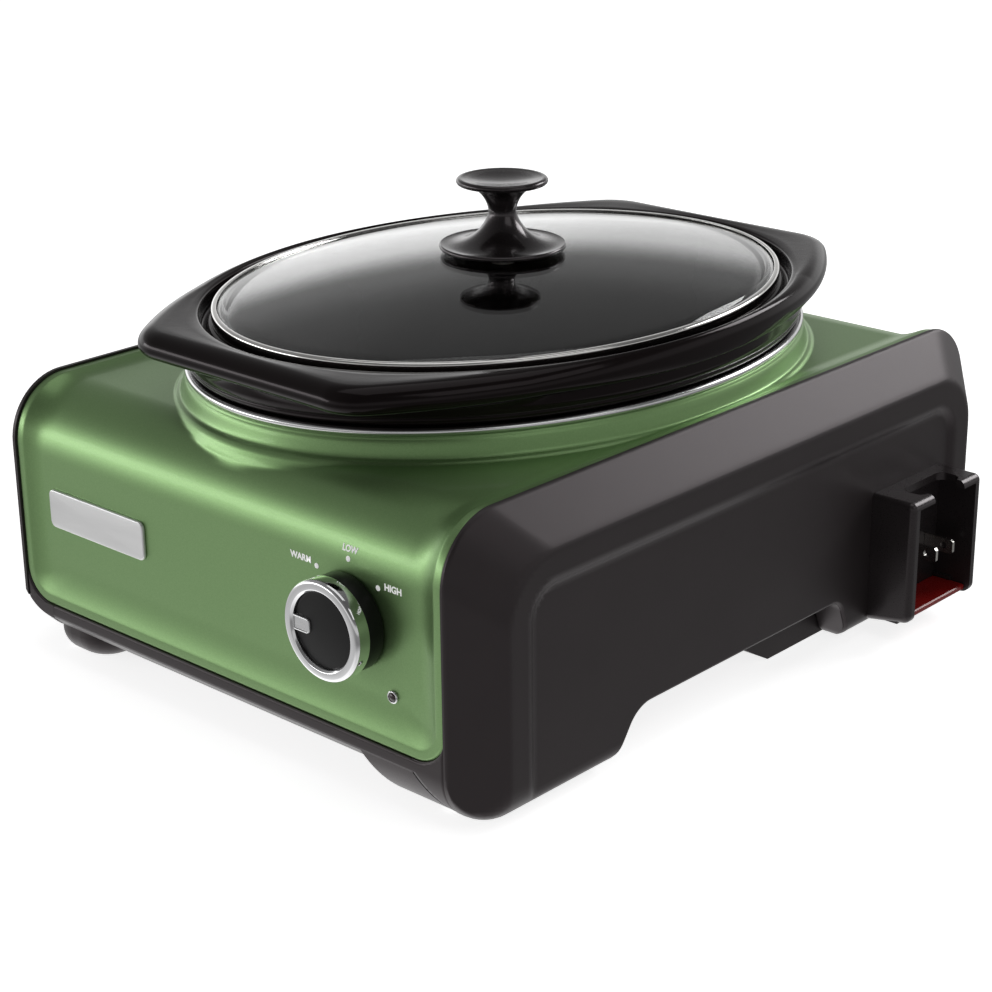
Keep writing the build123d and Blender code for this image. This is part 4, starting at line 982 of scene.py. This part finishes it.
def roll_y(z, s, face):
    return s * (face - R_ROLL + np.sqrt(np.maximum(R_ROLL ** 2 - np.maximum(R_ROLL + Z_FOOT - z, 0) ** 2, 0)))


def corner_piece(name, sx, sy, full):
    """Black corner under the rounded lower corner of the panel, part of the cap."""
    arc = [(104 + 14.2 * math.cos(t), 38 + 14.2 * math.sin(t)) for t in np.linspace(-0.02, -np.pi / 2, 16)]
    if full:
        line = [(W2 - 0.02, 2.6), (W2 - 0.02, 37.7)] + arc + [(101.8, 23.8), (101.8, 20.0)]
    else:
        line = [(W2 - 0.02, 24.1), (W2 - 0.02, 37.7)] + [q for q in arc if q[1] > 24.1]
    loop = divide(np.array([(sx * a, b) for a, b in line]), 1.2)
    lpts = loop

    def front(u, v):
        y = roll_y(v, 1.0, CAP_D - 0.25) - edge_round(line_dist(u, v, lpts, True), 0.45)
        return np.stack([u, sy * y, v], -1)

    def back(u, v):
        return np.stack([u, np.full(len(u), sy * (139.8 if full else 157.3)), v], -1)
    shell(name, [loop], 1.5, front, back, (0, sy, 0), "body", "cap_plastic", insets=(0.15, 0.4))


def front_frame():
    """Black frame under the panel: sill, round left corner and the right corner down to the foot."""
    xe, sill, ro = W2 - 0.02, 18.72, 19.4
    right = [(104 + 14.2 * math.cos(t), 38 + 14.2 * math.sin(t)) for t in np.linspace(-0.02, -np.pi / 2, 16)]
    a0 = math.acos((xe - 104) / ro)
    outer = [(-104 - ro * math.cos(t), 38 - ro * math.sin(t)) for t in np.linspace(a0, np.pi / 2, 14)]
    line = [(xe, 2.6), (xe, 37.7)] + right + [(-a, b) for a, b in reversed(right)] + [(-xe, 37.7)] + outer + [(102.9, sill)]
    loop = divide(np.array(line), 1.2)

    def front(u, v):
        y = roll_y(v, 1.0, CAP_D - 0.25) - edge_round(line_dist(u, v, loop, True), 0.8)
        return np.stack([u, -y, v], -1)

    def back(u, v):
        k = np.clip((sill - 0.3 - v) / 1.2, 0, 1)
        return np.stack([u, -(159.9 - 20.1 * k), v], -1)
    shell("front_frame", [loop], 1.5, front, back, (0, -1, 0), "body", "cap_plastic", insets=(0.15, 0.4))


def left_corner():
    """The slope carried round the lower left corner, with the ledge and the front of the leg behind it."""
    fx, fz = -104.0, 38.0

    def limit(x, y, gap):
        return max(y, -(CAP_D - SLOPE * (abs(x) - W2 - LIP)) + gap) if abs(x) > W2 + LIP else y
    section = [(19.6, -161.05, 0.3), (19.95, -160.8, 0.3), (24.6, -156.1, 0.3), (24.9, -155.6, 0.3), (25.0, -155.0, 0.3), (25.0, -146.0, 0.3), (25.0, -137.6, 0.3),
               (22.6, -137.6, 1.4), (22.6, -154.4, 1.4), (18.6, -158.8, 1.4)]
    rings = []
    for deg in np.linspace(-2.0, 90.0, 47):
        t = math.radians(deg)
        drop = 0.2 * np.clip((deg - 78.0) / 12.0, 0, 1)
        ring = []
        for r, y, gap in section:
            x, z = fx - (r - drop) * math.cos(t), fz - (r - drop) * math.sin(t)
            ring.append((x, limit(x, y, gap), z))
        rings.append(np.array(ring))
    V, F = loft(rings, cap_start=True, cap_end=True)
    add_mesh("corner_slope", V, F, "body", "base_plastic", angle=35)

    ledge = divide(np.array([(-122.9, -157.3), (-134.8, -144.4), (-134.8, -137.6), (-122.9, -137.6)]), 1.5)
    shell("corner_ledge", [ledge], 1.5, lambda u, v: np.stack([u, v, 37.8 + edge_round(line_dist(u, v, ledge, True), 0.3)], -1),
          lambda u, v: np.stack([u, v, np.full(len(u), 39.6)], -1), (0, 0, -1), "body", "cap_plastic", insets=(0.15, 0.4))
    low = [(-(XO - R_SIDE) - (R_SIDE - 0.1) * math.sin(t), Z_FOOT + R_SIDE - (R_SIDE - 0.1) * math.cos(t)) for t in np.linspace(0.05, np.pi / 2, 16)]
    leg = divide(np.array([(-118.1, 0.95)] + low + [(-134.95, 38.2), (-118.1, 38.2)]), 1.5)
    shell("corner_leg", [leg], 1.6, lambda u, v: np.stack([u, -139.1 + edge_round(line_dist(u, v, leg, True), 0.5), v], -1),
          lambda u, v: np.stack([u, np.full(len(u), -137.0), v], -1), (0, -1, 0), "body", "cap_plastic", insets=(0.15, 0.4))


front_frame()
left_corner()
corner_piece("corner_rear_right", 1, 1, True)
corner_piece("corner_rear_left", -1, 1, False)

# ------------------------------------------------------------------ carried-over nodes
SLOT_MAT = {}
for sp in frame["record"]["subparts"]:
    SLOT_MAT[sp["node"]] = sp["material_slot"]
for name, ob in NODE.items():
    slot = SLOT_MAT.get(name, "fastener_steel")
    ob.data.materials.clear()
    ob.data.materials.append(M[slot])


def soft_edges(node, width, seg=3, angle=30):
    ob = NODE[node]
    b = ob.modifiers.new("edge", "BEVEL")
    b.width = width / 1000.0
    b.segments = seg
    b.limit_method = "ANGLE"
    b.angle_limit = math.radians(angle)
    b.harden_normals = False
    return b


soft_edges("plug_housing", 0.7)
soft_edges("lock_tab", 0.4)
soft_edges("plug_blades", 0.25, 2)

# ------------------------------------------------------------------ stage
def flat_floor():
    me = bpy.data.meshes.new("floor")
    s = 6.0
    me.from_pydata([(-s, -s, 0), (s, -s, 0), (s, s, 0), (-s, s, 0)], [], [(0, 1, 2, 3)])
    ob = bpy.data.objects.new("floor", me)
    bpy.context.scene.collection.objects.link(ob)
    m, nt, b = new_mat("floor_pale")
    n = noise(nt, coords(nt), 3.0, 2.0)
    nt.links.new(ramp(nt, n, [(0.3, (0.86, 0.86, 0.86)), (0.7, (0.88, 0.88, 0.88))]), b.inputs["Base Color"])
    b.inputs["Roughness"].default_value = 0.8
    b.inputs["Emission Color"].default_value = (1.0, 1.0, 1.0, 1.0)
    b.inputs["Emission Strength"].default_value = 0.80
    me.materials.append(m)
    ob.visible_glossy = False
    ob.visible_diffuse = False


flat_floor()

world = bpy.data.worlds.new("studio")
bpy.context.scene.world = world
world.use_nodes = True
wt = world.node_tree
bg = wt.nodes["Background"]
wc = wt.nodes.new("ShaderNodeTexCoord")
ws = wt.nodes.new("ShaderNodeSeparateXYZ")
wt.links.new(wc.outputs["Generated"], ws.inputs["Vector"])


def sky(fac, stops):
    r = wt.nodes.new("ShaderNodeValToRGB")
    r.color_ramp.interpolation = "EASE"
    el = r.color_ramp.elements
    while len(el) < len(stops):
        el.new(0.5)
    for e, (p, c) in zip(el, stops):
        e.position = p
        e.color = (c, c, c, 1.0)
    mr = wt.nodes.new("ShaderNodeMapRange")
    mr.inputs["From Min"].default_value = -1.0
    mr.inputs["From Max"].default_value = 1.0
    wt.links.new(fac, mr.inputs["Value"])
    wt.links.new(mr.outputs["Result"], r.inputs["Fac"])
    return r.outputs["Color"]


across = sky(ws.outputs["X"], [(0.0, 1.40), (0.15, 1.20), (0.21, 0.98), (0.35, 0.84), (0.50, 0.68), (0.70, 0.52), (1.0, 0.54)])
height = sky(ws.outputs["Z"], [(0.0, 1.60), (0.16, 1.25), (0.325, 0.41), (0.43, 0.45), (0.50, 1.00), (0.58, 1.00), (0.66, 0.31), (0.74, 0.21), (1.0, 0.19)])
wm = wt.nodes.new("ShaderNodeMix")
wm.data_type = "RGBA"
wm.blend_type = "MULTIPLY"
wm.inputs["Factor"].default_value = 1.0
wt.links.new(across, wm.inputs["A"])
wt.links.new(height, wm.inputs["B"])
wt.links.new(wm.outputs["Result"], bg.inputs["Color"])
bg.inputs["Strength"].default_value = 1.0
white = wt.nodes.new("ShaderNodeBackground")
white.inputs["Color"].default_value = (1.0, 1.0, 1.0, 1.0)
white.inputs["Strength"].default_value = 1.0
lp = wt.nodes.new("ShaderNodeLightPath")
wx = wt.nodes.new("ShaderNodeMixShader")
wt.links.new(lp.outputs["Is Camera Ray"], wx.inputs["Fac"])
wt.links.new(bg.outputs["Background"], wx.inputs[1])
wt.links.new(white.outputs["Background"], wx.inputs[2])
wt.links.new(wx.outputs["Shader"], wt.nodes["World Output"].inputs["Surface"])


def area(name, loc, target, sx, sy, power, color=(1, 1, 1)):
    li = bpy.data.lights.new(name, "AREA")
    li.shape = "RECTANGLE"
    li.size, li.size_y = sx, sy
    li.energy = power
    li.color = color
    ob = bpy.data.objects.new(name, li)
    bpy.context.scene.collection.objects.link(ob)
    ob.location = loc
    d = Vector(target) - Vector(loc)
    ob.rotation_euler = d.to_track_quat("-Z", "Y").to_euler()
    return ob


area("key_left", (-2.2, -2.0, 0.55), (0, -0.12, 0.1), 2.6, 0.5, 14.0)
area("top", (0.0, 0.1, 1.5), (0, 0, 0.1), 1.2, 1.2, 3.0)
area("right", (0.75, -0.05, 0.62), (0.12, 0.0, 0.09), 0.6, 0.35, 0.5)
area("rear_right", (0.45, 1.35, 0.85), (0.1, 0.1, 0.1), 0.8, 0.5, 8.5)

# ------------------------------------------------------------------ camera
F_PX, AZ, PITCH, ROLL = 2256.75, math.radians(42.79), math.radians(20.72), math.radians(-0.64)
T = Vector((3.18, -60.14, 931.18))
right = Vector((math.cos(AZ), math.sin(AZ), 0))
fwd0 = Vector((-math.sin(AZ), math.cos(AZ), 0))
up = Vector((0, 0, 1))
fwd = math.cos(PITCH) * fwd0 - math.sin(PITCH) * up
upc = math.sin(PITCH) * fwd0 + math.cos(PITCH) * up
r2 = math.cos(ROLL) * right + math.sin(ROLL) * upc
u2 = -math.sin(ROLL) * right + math.cos(ROLL) * upc
pos = -(r2 * T[0] + (-u2) * T[1] + fwd * T[2])
pos = (pos + Vector((-XC, -YC, 115.0))) / 1000.0
cd = bpy.data.cameras.new("camera")
cd.sensor_width = 36.0
cd.sensor_fit = "HORIZONTAL"
cd.lens = F_PX / 992.0 * 36.0
cd.clip_start, cd.clip_end = 0.05, 50.0
cam = bpy.data.objects.new("camera", cd)
bpy.context.scene.collection.objects.link(cam)
cam.matrix_world = Matrix((
    (r2[0], u2[0], -fwd[0], pos[0]),
    (r2[1], u2[1], -fwd[1], pos[1]),
    (r2[2], u2[2], -fwd[2], pos[2]),
    (0, 0, 0, 1)))
bpy.context.scene.camera = cam
bpy.context.scene.view_settings.view_transform = "Standard"
bpy.context.scene.view_settings.look = "None"

bpy.context.view_layer.update()
